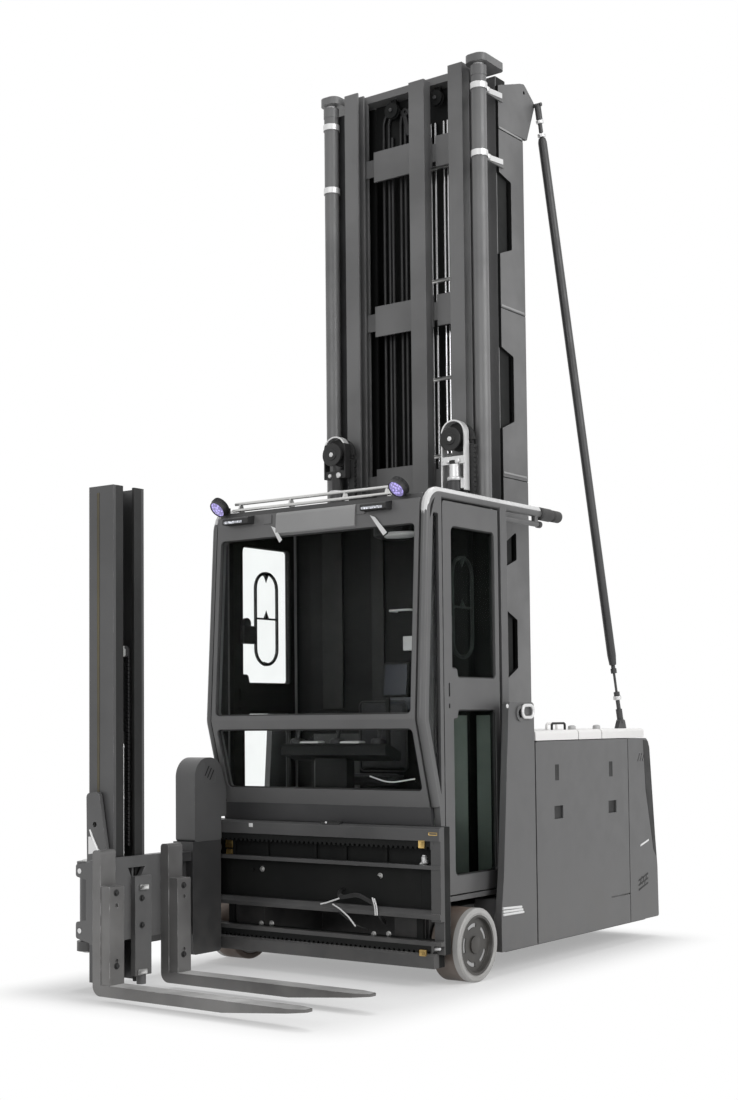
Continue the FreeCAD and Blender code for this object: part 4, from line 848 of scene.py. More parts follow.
@dataclass(frozen=True)
class Plate(Shape):
    """A plate cut to an outline.

    Attributes:
        points: The outline's corners in the truck frame.
        thick: The move from one face to the other.
        bend: Rounding of the outline's corners.
        press: How it is worked.
    """

    points: Sequence[Spot]
    thick: Spot
    bend: float = 0.0
    press: Press = Press()

    def make(self) -> bpy.types.Object:
        """Cuts the plate and returns it."""
        piece = Bench.line(self.points, True, self.bend, 4)
        Bench.open()
        bpy.ops.mesh.edge_face_add()
        bpy.ops.mesh.extrude_region_move(TRANSFORM_OT_translate={"value": Vector(self.thick)})
        return self.press.work(Bench.close(piece))


@dataclass(frozen=True)
class Turned(Shape):
    """A profile spun round an axis.

    Attributes:
        profile: Distances along the axis and radii, from one end to the other.
        centre: Where the axis starts, in the truck frame.
        axis: The axis.
        steps: How many steps go round.
        solid: Whether its ends are closed down to the axis.
        squeeze: How it is stretched about its centre afterwards.
    """

    profile: Sequence[Span]
    centre: Spot
    axis: Vector
    steps: int = 40
    solid: bool = True
    squeeze: Spot = (1.0, 1.0, 1.0)

    def make(self) -> bpy.types.Object:
        """Spins the profile and returns the turned piece."""
        axis = self.axis.normalized()
        side = axis.orthogonal().normalized()
        rows = list(self.profile)
        if self.solid:
            rows = [(rows[0][0], 0.0), *rows, (rows[-1][0], 0.0)]
        piece = Bench.line([Vector(self.centre) + axis * along + side * radius
                            for along, radius in rows])
        Bench.open()
        bpy.ops.mesh.spin(steps=self.steps, angle=math.tau, center=at(*self.centre), axis=axis)
        Bench.close(piece)
        bpy.ops.transform.resize(value=self.squeeze, center_override=at(*self.centre))
        return Bench.settle()


def pin(radius: float, shoulder: float, length: float, tip: float) -> tuple[Span, ...]:
    """The profile of a round pin or cap with a chamfered end.

    Args:
        radius: Its radius.
        shoulder: Where the chamfer starts.
        length: Its length.
        tip: Radius of its flat end.

    Returns:
        The profile.
    """
    return (0, radius), (shoulder, radius), (length, tip)


@dataclass(frozen=True)
class Row(Shape):
    """A shape and its copies.

    Attributes:
        shape: The first one.
        moves: Offsets of the others.
    """

    shape: Shape
    moves: Sequence[Spot]

    def make(self) -> bpy.types.Object:
        """Builds the shape and its copies and returns them in one."""
        return Bench.copied(self.shape.make(), self.moves)


@dataclass(frozen=True)
class Trim:
    """A named piece of trim.

    Attributes:
        name: Its name.
        body: The body that it moves with.
        finish: Its finish.
        slot: The record's material slot; it is not used.
        shapes: The shapes that it is joined from.
        moves: Offsets of its further copies.
        both: Whether its mirror image is on the truck's other side too.
        angle: Edges flatter than this are shaded smooth, in degrees.
    """

    name: str
    body: str
    finish: Coating
    slot: str
    shapes: Sequence[Shape]
    moves: Sequence[Spot] = ()
    both: bool = False
    angle: float = 35.0

    def build(self) -> None:
        """Makes the piece."""
        made = Bench.copied(Bench.joined([shape.make() for shape in self.shapes]), self.moves)
        self.fasten(Bench.mirrored(made) if self.both else made)

    def fasten(self, piece: bpy.types.Object) -> bpy.types.Object:
        """Names and paints a made piece and fastens it to the body that carries it.

        Args:
            piece: The piece.

        Returns:
            The finished piece.
        """
        Bench.hold(piece)
        bpy.ops.object.shade_smooth_by_angle(angle=math.radians(self.angle))
        piece = Bench.settle()
        piece.name = piece.data.name = self.name
        piece.data.materials.clear()
        piece.data.materials.append(self.finish.material())
        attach(piece, self.body)
        LOG.info("made %s on %s", self.name, self.body)
        return piece


def bolts(name: str, body: str, way: Vector, places: Sequence[Spot], size: float,
          finish: Finish) -> Trim:
    """A set of hexagon bolts with washers.

    Args:
        name: Name of the set.
        body: Body that they are screwed into.
        way: Direction that their heads look in.
        places: Where their washers rest, in the truck frame.
        size: Width across a head.
        finish: Their finish.

    Returns:
        The set.
    """
    first = Vector(places[0])
    washer = Turned(((-0.001, size * 0.8), (0.0015, size * 0.8), (0.0025, size * 0.74)), first,
                    way, 20)
    head = Drum(first + way * 0.0065, way, size * 0.56, 0.009,
                Press(way, size * 0.09, -0.0012, 0.0008, 1), 6)
    return Trim(name, body, finish, "steel", (washer, head),
                [Vector(place) - first for place in places[1:]], angle=25)


# ---------------------------------------------------------------- sub-assemblies


class Assembly:
    """A sub-assembly of the trim."""

    def pieces(self) -> Iterable[Trim]:
        """Its pieces, in the order in which they are built."""
        raise NotImplementedError

    def build(self) -> None:
        """Builds, paints and fastens every piece."""
        for piece in self.pieces():
            piece.build()


@dataclass(frozen=True)
class RoofTrim(Assembly):
    """The roof's lamps, light strips, header cover and tabs, and painted highlights on its
    tubes.

    Attributes:
        lamp: Middle of the right spot lamp.
        lamp_way: Where both spot lamps look.
        lamp_gap: The move from the right one to the left one.
        strips: Spans of the two light strips along x.
        cover: Outline of the header's cover along y and z.
        cover_x: Where the cover starts along x.
        cover_long: Its length.
        tabs: Outlines of the two white tabs along x and z.
        tube_highlight_z: Height of the painted highlights along the roof tubes' tops.
        tube_highlight_feet: Where the painted highlights end in front.
        dome: Middle of the ceiling's dome lamp.
    """

    lamp: Vector = Vector((-0.672, 0.180, 2.614))
    lamp_way: Vector = Vector((-0.15, -0.75, -0.64)).normalized()
    lamp_gap: Spot = (1.26, 0, 0)
    strips: tuple[Span, Span] = ((-0.605, -0.474), (0.369, 0.506))
    cover: tuple[Span, ...] = ((0.186, 2.424), (0.1785, 2.430), (0.1845, 2.530),
                               (0.1925, 2.5455), (0.208, 2.5455), (0.200, 2.424))
    cover_x: float = -0.262
    cover_long: float = 0.552
    tabs: tuple[tuple[Span, ...], ...] = (
        ((-0.297, 2.473), (-0.267, 2.461), (-0.213, 2.389), (-0.233, 2.373)),
        ((0.391, 2.476), (0.425, 2.464), (0.506, 2.375), (0.482, 2.359)))
    tube_highlight_z: float = 2.5915
    tube_highlight_feet: tuple[Spot, ...] = ((0.728, 0.2145, 2.350), (-0.728, 0.2235, 2.480))
    dome: Spot = (0.452, 0.375, 2.395)

    def pieces(self) -> Iterable[Trim]:
        """Its pieces, in the order in which they are built."""
        yield from self.spots()
        yield Trim("light_strips", "cab", Look.STRIP, "lamp", [
            Block(x, (0.1315, 0.137), (2.5035, 2.5165), Press(FORE, 0.0025, 0.0012, 0.0018))
            for x in self.strips])
        yield from self.header()
        # Painted highlight along the roof tubes' tops.
        yield Trim("roof_tube_highlights", "cab", Look.TUBE_TOP_HIGHLIGHT, "body_grey", [
            Rod(((foot[0], 1.384, self.tube_highlight_z), (foot[0], 0.215, self.tube_highlight_z), foot), 0.0225,
                0.105) for foot in self.tube_highlight_feet])
        yield Trim("dome_lamp", "cab", Look.PALE, "lamp", [
            Turned(((0, 0.112), (0.006, 0.116), (0.018, 0.112), (0.028, 0.080), (0.031, 0)),
                   self.dome, -UP, 48, squeeze=(1, 0.55, 1))])
        yield Trim("dome_lamp_stem", "cab", Look.BLACK, "dark_grey", [
            Turned(((0, 0.028), (0, 0.036), (0.004, 0.036), (0.150, 0.028), (0.150, 0)),
                   (self.dome[0], self.dome[1], 2.394), UP, 24, False)])

    def spots(self) -> Iterable[Trim]:
        """The spot lamps' lenses, then their bezels and cooling fins."""
        lens = ((0.024, 0.046), (0.027, 0.046), (0.031, 0.036), (0.0335, 0.020), (0.0345, 0))
        bezel = ((0.020, 0.0505), (0.029, 0.0515), (0.032, 0.050), (0.031, 0.0465),
                 (0.022, 0.0465))
        fin = ((-0.012, 0.052), (-0.012, 0.0565), (-0.010, 0.0575), (-0.008, 0.0565),
               (-0.008, 0.052))
        yield Trim("spot_lenses", "cab", Look.LENS, "lamp",
                   [Turned(lens, self.lamp, self.lamp_way)], [self.lamp_gap])
        yield Trim("spot_bezels", "cab", Look.BLACK, "dark_grey", [
            Turned(bezel, self.lamp, self.lamp_way, solid=False),
            Row(Turned(fin, self.lamp, self.lamp_way, solid=False),
                [self.lamp_way * step for step in (0.007, 0.014, 0.021)])], [self.lamp_gap])

    def header(self) -> Iterable[Trim]:
        """The header's pale cover and the two white tabs that hang from it."""
        yield Trim("header_cover", "cab", Look.HEADER, "body_grey", [
            Plate([(self.cover_x, y, z) for y, z in self.cover], (self.cover_long, 0, 0), 0.005,
                  eased(0.003))])
        yield Trim("header_tabs", "cab", Look.WHITE, "pale_cover", [
            Plate([(x, y, z) for (x, z), y in zip(tab, (0.181, 0.181, 0.177, 0.177))],
                  (0, 0.0025, 0), press=eased(0.0008, 1)) for tab in self.tabs])


@dataclass(frozen=True)
class DoorTrim(Assembly):
    """The handle, lock, latch liners and window seals of one door.

    Attributes:
        side: -1 for the right door and 1 for the left one.
        name: The door's side in words.
        grip: Distance of the handle from the centre line.
        low: Height of the handle's lower end.
        pin: Height of its cross pin.
        high: Height of its upper end.
        reach: Its front and rear limits.
        latches: Heights of the latch's two slots.
        panes: Outlines of the upper and the lower pane along y and z.
    """

    side: int
    name: str
    grip: float = 0.695
    low: float = 1.7155
    pin: float = 1.987
    high: float = 2.2595
    reach: Span = (0.5145, 0.7115)
    latches: tuple[Span, Span] = ((1.5005, 1.5715), (1.4385, 1.4615))
    panes: tuple[tuple[Span, ...], ...] = (
        ((0.420, 1.648), (0.420, 2.415), (0.860, 2.415), (0.860, 1.600), (0.478, 1.600),
         (0.466, 1.648)),
        ((0.430, 0.550), (0.430, 1.385), (0.466, 1.385), (0.478, 1.430), (0.857, 1.430),
         (0.857, 0.550)))

    def pieces(self) -> Iterable[Trim]:
        """Its pieces, in the order in which they are built."""
        door, side, out = f"door_{self.name}", self.side, LEFT * self.side
        yield Trim(f"{door}_handle", door, Look.BLACK, "dark_grey", self.handle(out))
        yield Trim(f"{door}_lock", door, Look.BLACK, "dark_grey", [
            Block(sorted((0.6765 * side, 0.7105 * side)), (0.391, 0.495), (1.833, 1.939),
                  Press(-out, 0.010, 0.004, 0.008, 3)),
            Drum((0.6935 * side, 0.4275, 1.952), LEFT, 0.033, 0.024,
                 Press(-out, 0.008, 0.003, 0.003))])
        yield Trim(f"{door}_latch", door, Look.BLACK, "dark_grey", [
            Block(sorted((0.7375 * side, 0.7405 * side)), (0.3845, 0.3975), z,
                  Press(out, 0.003, 0.004)) for z in self.latches])
        yield Trim(f"{door}_seals", door, Look.SEAL, "dark_grey", [
            Rod([(across * side, y, z) for y, z in pane], 0.0075, 0.004, True, 2)
            for pane in self.panes for across in (0.7375, 0.7245)])

    def handle(self, out: Vector) -> Sequence[Shape]:
        """The closed loop handle with its cross pin, stand-offs and cones.

        Args:
            out: The way out of the cab.

        Returns:
            The handle's shapes.
        """
        near, far = self.reach
        x, middle = self.grip * self.side, (near + far) / 2
        loop = ((x, near, self.low), (x, near, self.high), (x, far, self.high),
                (x, far, self.low))
        return [Rod(loop, 0.0098, (far - near) * 0.47, True),
                Rod(((x, near, self.pin), (x, far, self.pin)), 0.006),
                *(Turned(((0, 0.009), (0.012, 0.010), (0.016, 0.014)), (x, middle, z), out, 20)
                  for z in (self.low + 0.004, self.high - 0.004)),
                *(Turned(((0, 0.024), (0.030, 0.009), (0.052, 0)), (x, middle, z), way, 16,
                         squeeze=(0.5, 1, 1))
                  for z, way in ((self.high - 0.008, -UP), (self.pin + 0.002, UP)))]


@dataclass(frozen=True)
class CabInside(Assembly):
    """Controls and trim that show through the cab's glass.

    Attributes:
        posts: Spans of the rear wall's posts along x.
        levers: Where the control levers stand along x.
        lever_y: Where they stand along y.
        lever_way: The way in which their pads tilt.
        mat_gap: Distance between two ridges of the floor mat.
        ridges: How many ridges it has.
        panes: Lower and upper edges of the windscreen's panes along y and z.
        pane_x: Half of their width.
    """

    posts: tuple[Span, Span] = ((-0.463, -0.312), (-0.097, -0.010))
    levers: Spot = (-0.22, 0.06, 0.34)
    lever_y: float = 0.318
    lever_way: Vector = Vector((0, 0.1, 1))
    mat_gap: float = 0.042
    ridges: int = 31
    panes: tuple[tuple[Span, Span], ...] = (
        ((0.146, 1.409), (0.204, 2.414)), ((0.258, 1.003), (0.164, 1.334)))
    pane_x: float = 0.677

    def pieces(self) -> Iterable[Trim]:
        """Its pieces, in the order in which they are built."""
        yield from self.wall()
        yield from self.controls()
        yield from self.panels()
        yield from self.windows()

    def wall(self) -> Iterable[Trim]:
        """The rear wall's posts, grab bar, box and pad, the ceiling's well and a cable."""
        yield Trim("wall_posts", "cab", Look.LINING, "dark_grey", [
            Block(x, (0.858, 0.874), (1.450, 2.500), Press(FORE, 0.010, 0.004, 0.003))
            for x in self.posts])
        yield Trim("grab_bar", "cab", Look.PALE, "bright_steel", [
            Rod(((0.078, 0.872, 2.008), (0.078, 0.790, 2.008), (0.218, 0.790, 2.008),
                 (0.218, 0.872, 2.008)), 0.007, 0.016)])
        yield Trim("switch_box", "cab", Look.PALE, "bright_steel", [
            Block((0.146, 0.215), (0.828, 0.874), (1.776, 1.859),
                  Press(FORE, 0.010, 0.003, 0.005, 3))])
        yield Trim("back_pad", "cab", Look.SLATE, "desk_plastic", [
            Block((0.005, 0.331), (0.836, 0.868), (1.433, 1.602),
                  Press(FORE, 0.022, -0.006, 0.008, 3))])
        yield Trim("dome_lamp", "cab", Look.SEAL, "dark_grey", [
            Turned(((0, 0), (0.004, 0.058), (0.016, 0.108), (0.024, 0.120), (0.176, 0.120)),
                   (0.384, 0.430, 2.362), UP)])
        yield Trim("loose_cable", "cab", Look.WHITE, "pale_cover", [
            Rod(((0.216, 0.400, 1.072), (0.343, 0.400, 1.036), (0.515, 0.400, 1.060)), 0.004,
                0.05)])

    def controls(self) -> Iterable[Trim]:
        """The levers on their pads, the key pads between them and the screen."""
        stick = ((0, 0.012), (0.050, 0.010), (0.062, 0.017), (0.110, 0.021), (0.128, 0.016),
                 (0.134, 0))
        press = Press(self.lever_way.normalized(), 0.012, -0.010, 0.004, 3)
        yield Trim("control_levers", "cab", Look.BLACK, "desk_plastic", [
            shape for x in self.levers for shape in (
                Drum((x, self.lever_y, 1.258), self.lever_way, 0.045, 0.022, press),
                Turned(stick, (x, self.lever_y, 1.262), Vector((0, 0.15, 1)), 24, False))])
        yield Trim("key_pads", "cab", Look.PALE, "bright_steel", [
            Block((-0.17, -0.04), (0.268, 0.330), (1.254, 1.262),
                  Press(UP, 0.006, -0.004, 0.002))], ((0.28, 0, 0),))
        yield Trim("screen_face", "cab", Look.SLATE, "desk_plastic", [
            Plate(((0.390, 0.2985, 1.512), (0.535, 0.2985, 1.512), (0.535, 0.3165, 1.676),
                   (0.390, 0.3165, 1.676)), (0, -0.002, 0.0002), 0.006, eased(0.0007, 1))])

    def panels(self) -> Iterable[Trim]:
        """The ridged floor mat, the kick panel and the wall's panels."""
        yield Trim("floor_mat", "cab", Look.RUBBER, "dark_grey", [
            Block((-0.66, 0.66), (0.30, 0.86), (0.4462, 0.4484),
                  Press(UP, 0.02, 0.0006, 0.0006, 1)),
            Row(Block((-0.63, -0.622), (0.33, 0.83), (0.4470, 0.4489), eased(0.0006, 1)),
                [(self.mat_gap * step, 0, 0) for step in range(1, self.ridges)])])
        yield Trim("kick_panel", "cab", Look.KICK, "dark_grey", [
            Block((-0.540, -0.200), (0.865, 0.8705), (0.500, 1.300),
                  Press(FORE, 0.020, -0.002, 0.002))])
        yield Trim("wall_panels", "cab", Look.WALL, "dark_grey", [
            Block(x, y, (0.500, 1.400), Press(FORE, 0.012, -0.002, 0.002))
            for x, y in (((0.290, 0.552), (0.865, 0.8705)), ((0.578, 0.700), (0.9240, 0.9335)))])

    def windows(self) -> Iterable[Trim]:
        """The sill's bright line, the windscreen's seals and the quarter panes' painted shade.
        """
        wide = self.pane_x
        yield Trim("sill_trim", "cab", Look.PALE, "bright_steel", [
            Rod(((-0.60, 0.150, 1.402), (0.10, 0.150, 1.4005)), 0.0028)])
        yield Trim("windscreen_seals", "cab", Look.SEAL, "dark_grey", [
            Rod(((-wide, *low), (wide, *low), (wide, *high), (-wide, *high)), 0.009, 0.020,
                True, 2) for low, high in self.panes])
        # Painted shade: near-black sheets just inside the quarter panes stand in for the dark
        # cab seen through them.
        yield Trim("quarter_pane_shade_sheets", "cab", Look.SEAL, "dark_grey", [
            Plate([(0.7255, y, z) for y, z in (
                (0.264, 0.985), (0.302, 0.985), (0.302, 2.466), (0.224, 2.466),
                (0.162, 1.360))], (0.002, 0, 0), 0.004, Press(LEFT, 0.012, -0.0004))],
                   both=True)


@dataclass(frozen=True)
class SeatPad:
    """The operator's seat: a blown-up cushion on the rear wall and its padded back.

    Attributes:
        cushion: Spans of the cushion's block, before it swells.
        back: Spans of the back's block.
        corner: Rounding of the pads' edges.
        piping_z: Height of the cushion's piping.
        swell: How far a point may move, in metres.
        voxel: Size of the simulated cloth's cells.
        pressure: How hard the pads are blown up.
        frames: How many frames the simulation takes.
    """

    cushion: tuple[Span, Span, Span] = ((-0.168, 0.168), (0.652, 0.806), (1.016, 1.062))
    back: tuple[Span, Span, Span] = ((-0.168, 0.168), (0.828, 0.863), (1.084, 1.488))
    corner: float = 0.014
    piping_z: float = 1.058
    swell: float = 0.010
    voxel: float = 0.006
    pressure: float = 4.0
    frames: int = 20

    def build(self) -> None:
        """Blows up both pads, adds the piping and puts the seat in the plain one's place."""
        pads = [self.blown(spans) for spans in (self.cushion, self.back)]
        seat = Trim("seat_pad", "cab", Look.SEAT, "seat_fabric", (), angle=60).fasten(
            Bench.joined(pads))
        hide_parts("seat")
        (x0, x1), (y0, y1), _ = self.cushion
        _, (front, _), (z0, z1) = self.back
        z = self.piping_z
        loops = (((x0, y0, z), (x1, y0, z), (x1, y1, z), (x0, y1, z)),
                 ((x0, front, z0), (x1, front, z0), (x1, front, z1), (x0, front, z1)))
        Trim("seat_piping", "cab", Look.BLACK, "seat_fabric",
             [Rod(loop, 0.004, 0.03, True) for loop in loops]).build()

    def blown(self, spans: tuple[Span, Span, Span]) -> bpy.types.Object:
        """Blows one pad up by a cloth simulation, kept within its swell.

        Args:
            spans: The pad's block before it swells.

        Returns:
            The pad.
        """
        pad = Block(*spans, eased(self.corner, 4)).make()
        Bench.hold(pad)
        pad.data.remesh_voxel_size = self.voxel
        bpy.ops.object.voxel_remesh()
        start = [vertex.co.copy() for vertex in pad.data.vertices]
        cloth = pad.modifiers.new("inflation", "CLOTH")
        cloth.settings.use_pressure = True
        cloth.settings.uniform_pressure_force = self.pressure
        cloth.settings.effector_weights.gravity = 0.0
        cloth.point_cache.frame_start, cloth.point_cache.frame_end = 1, self.frames
        for frame_number in range(1, self.frames + 1):
            bpy.context.scene.frame_set(frame_number)
        Bench.hold(pad)
        bpy.ops.object.modifier_apply(modifier=cloth.name)
        for vertex, first in zip(pad.data.vertices, start):
            move = vertex.co - first
            if move.length > self.swell:
                vertex.co = first + move.normalized() * self.swell
        bpy.context.scene.frame_set(1)
        smooth = pad.modifiers.new("smoothing", "SUBSURF")
        smooth.levels = smooth.render_levels = 1
        bpy.ops.object.modifier_apply(modifier=smooth.name)
        return pad


@dataclass(frozen=True)
class TraverseTrim(Assembly):
    """Brass cams, sensor, cables, bolts and pins on the traverse beams.

    Attributes:
        cams: Spans of the brass cams along x, y and z.
        cable: Radius of a cable.
        cable_y: Plane of the cables' free ends.
        plate_y: Front plane of the plate behind the beams.
        plate_bolts: Where the plate's bolts are along x and z.
    """

    cams: tuple[tuple[Span, Span, Span], ...] = (
        ((-0.672, -0.620), (0.2095, 0.2265), (0.662, 0.706)),
        ((-0.668, -0.624), (0.2110, 0.2265), (0.618, 0.654)),
        ((0.701, 0.738), (0.1535, 0.167), (0.715, 0.755)),
        ((0.764, 0.819), (0.1535, 0.160), (0.782, 0.798)),
        ((0.699, 0.742), (0.1535, 0.167), (0.162, 0.195)))
    cable: float = 0.0042
    cable_y: float = 0.1536
    plate_y: float = 0.226
    plate_bolts: tuple[Span, ...] = ((-0.412, 0.550), (0.405, 0.553), (-0.421, 0.246),
                                     (-0.345, 0.251), (0.359, 0.242), (0.457, 0.249))

    def pieces(self) -> Iterable[Trim]:
        """Its pieces, in the order in which they are built."""
        yield Trim("traverse_cams", "cab", Look.BRASS, "steel", [
            Block(*spans, Press(FORE, 0.005, 0.003, 0.002)) for spans in self.cams])
        yield Trim("end_sensor", "cab", Look.BRIGHT, "steel", [
            Turned(((0, 0.016), (0.006, 0.0165), (0.030, 0.0165), (0.034, 0.012),
                    (0.040, 0.012)), (0.690, 0.2260, 0.634), UP, 24),
            Turned(pin(0.010, 0.045, 0.050, 0.006), (0.714, 0.2200, 0.640),
                   Vector((-1, 0, -0.35)), 20)])
        yield from self.cables()
        yield Trim("lock_pin", "cab", Look.BRIGHT, "steel", [
            Turned(((0, 0.007), (0.003, 0.009), (0.062, 0.009), (0.066, 0.006)),
                   (0.752, 0.182, 0.196), Vector((1, -0.1, 0.12)), 20)])
        yield Trim("beam_stop", "cab", Look.SEAL, "dark_grey", [
            Block((0.061, 0.183), (0.160, 0.196), (0.8185, 0.8365),
                  Press(FORE, 0.006, 0.003, 0.004))])
        yield Trim("beam_pads", "cab", Look.WHITE, "pale_cover", [
            Turned(pin(0.006, 0.003, 0.004, 0.004), (0.095, 0.1605, 0.8290), FORE, 16),
            Block((-0.449, -0.421), (0.1538, 0.160), (0.788, 0.810), eased(0.002))])
        yield bolts("plate_bolts", "cab", FORE,
                    [(x, self.plate_y, z) for x, z in self.plate_bolts], 0.020, Look.STEEL)

    def cables(self) -> Iterable[Trim]:
        """The clipped bundle that loops over the third beam, then the white ends."""
        y, radius = self.cable_y, self.cable
        yield Trim("cable_bundle", "cab", Look.SEAL, "dark_grey", [
            *(Rod(((0.150 + lift, 0.222, 0.470), (0.164 + lift, 0.168, 0.462),
                   (0.180 + lift, 0.1538, 0.423 + lift), (0.308, 0.1538, 0.447 + lift),
                   (0.425, 0.1538, 0.401 + lift), (0.440, 0.172, 0.330 + lift),
                   (0.440, 0.222, 0.300 + lift)), radius, 0.028)
              for lift in (0.0, 0.008, 0.016)),
            Rod(((0.150, 0.222, 0.350), (0.168, 0.160, 0.360), (0.292, 0.1545, 0.293),
                 (0.330, 0.222, 0.262)), radius, 0.02)])
        yield Trim("cable_ends", "cab", Look.WHITE, "pale_cover", [
            Rod(((0.058, y, 0.390), (0.100, y, 0.400), (0.150, y, 0.416), (0.186, y, 0.428)),
                0.0044, 0.010),
            Rod(((0.140, y, 0.394), (0.190, y, 0.372), (0.250, y, 0.330), (0.292, y, 0.286)),
                radius, 0.012),
            *(Rod(((0.404 + shift, y, 0.444 - shift / 3), (0.420 + shift, y, 0.398),
                   (0.423 + shift, 0.1540, 0.352)), radius, 0.014) for shift in (0.0, 0.012))])


@dataclass(frozen=True)
class MastTrim(Assembly):
    """Straps, hoses, clips, stays' tubes, pulleys and pins on the mast.

    Attributes:
        straps: Heights of the lift cylinders' straps.
        clips: Heights of the pipe clips.
        lips: Heights of the side plates' lips, painted light as highlights.
        hoses: Where the head's hoses come up along x.
        hose_step: How much lower each hose's arch is than the one before.
        stay_top: Upper end of the left stay.
        stay_foot: Its lower end.
        rings: Start, length and radius of each ring round a stay.
        pulley_x: Distance of the pulleys from the centre line.
        pulley_z: Their height.
    """

    straps: Span = (5.078, 4.676)
    clips: Spot = (0.9, 1.5, 2.1, 2.95, 3.42, 4.02, 4.72)
    lips: Spot = (2.822, 3.820, 4.894)
    hoses: Spot = (-0.262, -0.222, -0.132, -0.098)
    hose_step: float = 0.010
    stay_top: Vector = Vector((0.575, 1.728, 5.158))
    stay_foot: Vector = Vector((0.722, 2.400, 1.345))
    rings: tuple[Spot, ...] = ((0.094, 0.020, 0.024), (0.176, 0.022, 0.025),
                               (3.700, 0.024, 0.026))
    pulley_x: float = 0.428
    pulley_z: float = 2.986

    def pieces(self) -> Iterable[Trim]:
        """Its pieces, in the order in which they are built."""
        yield Trim("cylinder_straps", "chassis", Look.BRIGHT, "bright_steel",
                   [shape for height in self.straps for shape in self.strap(height)], both=True)
        yield Trim("pipe_clips", "mast_middle", Look.STEEL, "bright_steel", [
            Block((0.080, 0.224), (1.256, 1.276), (z, z + 0.022),
                  Press(FORE, 0.004, 0.002, 0.003)) for z in self.clips])
        # Painted highlight: the lips take the light header paint to show the light that the
        # plates' steps catch.
        yield Trim("plate_lip_highlights", "chassis", Look.HEADER, "bright_steel", [
            Block((0.5495, 0.5545), (1.307, 1.570), (z, z + 0.011),
                  Press(LEFT, 0.002, 0.001, 0.0015, 1)) for z in self.lips], both=True)
        yield from self.head()
        yield from self.stays()
        yield from self.pulley(-1, "right")
        yield from self.pulley(1, "left")
        yield Trim("ram_collars", "mast_inner", Look.BRIGHT, "bright_steel", [
            Turned(((0, 0.038), (0, 0.047), (0.004, 0.049), (0.018, 0.049), (0.022, 0.044),
                    (0.022, 0.0365)), (-self.pulley_x, 0.972, 2.7485), UP, solid=False)],
                   ((2 * self.pulley_x, 0, 0),))
        yield Trim("bail_legs", "free_lift_heads", Look.BRIGHT, "bright_steel", [
            Block((0.347, 0.356), (0.948, 0.996), (2.690, 2.8435), Press(FORE, 0.0015, 0.001)),
            Block((0.500, 0.509), (0.948, 0.996), (2.690, 2.8435), Press(FORE, 0.0015, 0.001)),
            Block((0.4795, 0.4995), (0.948, 0.990), (2.700, 2.758), Press(FORE, 0.003, 0.001))])
        yield Trim("mast_guards", "chassis", Look.FRAME, "dark_grey", [
            Plate(((0.480, 1.152, 0.420), (0.536, 1.152, 0.420), (0.536, 1.152, 5.168),
                   (0.480, 1.152, 5.168)), (0, 0.006, 0), 0.006, eased(0.001, 1))], both=True)

    def strap(self, height: float) -> Sequence[Shape]:
        """The band, ear and sheet strap that tie a lift cylinder to its side plate.

        Args:
            height: Height of the band's middle.

        Returns:
            The three shapes.
        """
        return (Turned(((-0.018, 0.0490), (-0.018, 0.0512), (0.018, 0.0512), (0.018, 0.0490)),
                       (0.544, 1.097, height), UP, 48, False),
                Block((0.548, 0.574), (1.143, 1.176), (height - 0.015, height + 0.015),
                      Press(LEFT, 0.006, -0.004, 0.003)),
                Plate(((0.5605, 1.176, height - 0.016), (0.5605, 1.176, height + 0.016),
                       (0.5605, 1.330, height + 0.030), (0.5605, 1.330, height - 0.002)),
                      (0.004, 0, 0), 0.004, eased(0.0015, 1)))

    def head(self) -> Iterable[Trim]:
        """The hoses round the sheaves, the sheaves' pins, the rods' rings and the back plate."""
        drops = [(x, self.hose_step * step) for step, x in enumerate(self.hoses)]
        yield Trim("head_hoses", "mast_middle", Look.BLACK, "dark_grey", [
            Rod(((x, 1.267, 4.985), (x, 1.267, 5.11 - drop), (x * 0.75, 1.257, 5.18 - drop),
                 (x * 0.40, 1.257, 5.12 - drop), (x * 0.30, 1.267, 4.98)), 0.010, 0.030)
            for x, drop in drops])
        yield Trim("sheave_pins", "mast_middle", Look.FRAME, "steel", [
            Turned(pin(0.012, 0.006, 0.009, 0.008), (x, 1.2035, 5.140), FORE, 24)
            for x in (-0.164, 0.164)])
        yield Trim("rod_rings", "mast_middle", Look.BRIGHT, "steel", [
            Turned(((0.0005, 0.0315), (0.003, 0.033), (0.012, 0.033), (0.0145, 0.0315)),
                   (x, 1.097, 5.2005), UP) for x in (-0.544, 0.544)])
        yield Trim("head_back", "mast_middle", Look.LINING_AND_SHADE, "dark_grey", [
            Plate(((-0.332, 1.288, 5.1015), (0.332, 1.288, 5.1015), (0.332, 1.288, 5.2155),
                   (-0.332, 1.288, 5.2155)), (0, -0.006, 0), 0.01, eased(0.001, 1))])

    def stays(self) -> Iterable[Trim]:
        """A tube over each sloping stay, and the rings over its ends."""
        top, way = self.stay_top, (self.stay_foot - self.stay_top).normalized()
        yield Trim("stay_tubes", "chassis", Look.ARM, "dark_grey", [
            Turned(((0.200, 0.012), (0.206, 0.022), (0.230, 0.0275), (3.440, 0.0275),
                    (3.500, 0.022), (3.506, 0.012)), top, way, 32, False)], both=True)
        yield Trim("stay_rings", "chassis", Look.BRIGHT, "bright_steel", [
            Turned(((start, 0.0125), (start, radius - 0.003), (start + 0.003, radius),
                    (start + long - 0.003, radius), (start + long, radius - 0.003),
                    (start + long, 0.0125)), top, way, 32, False)
            for start, long, radius in self.rings], both=True)

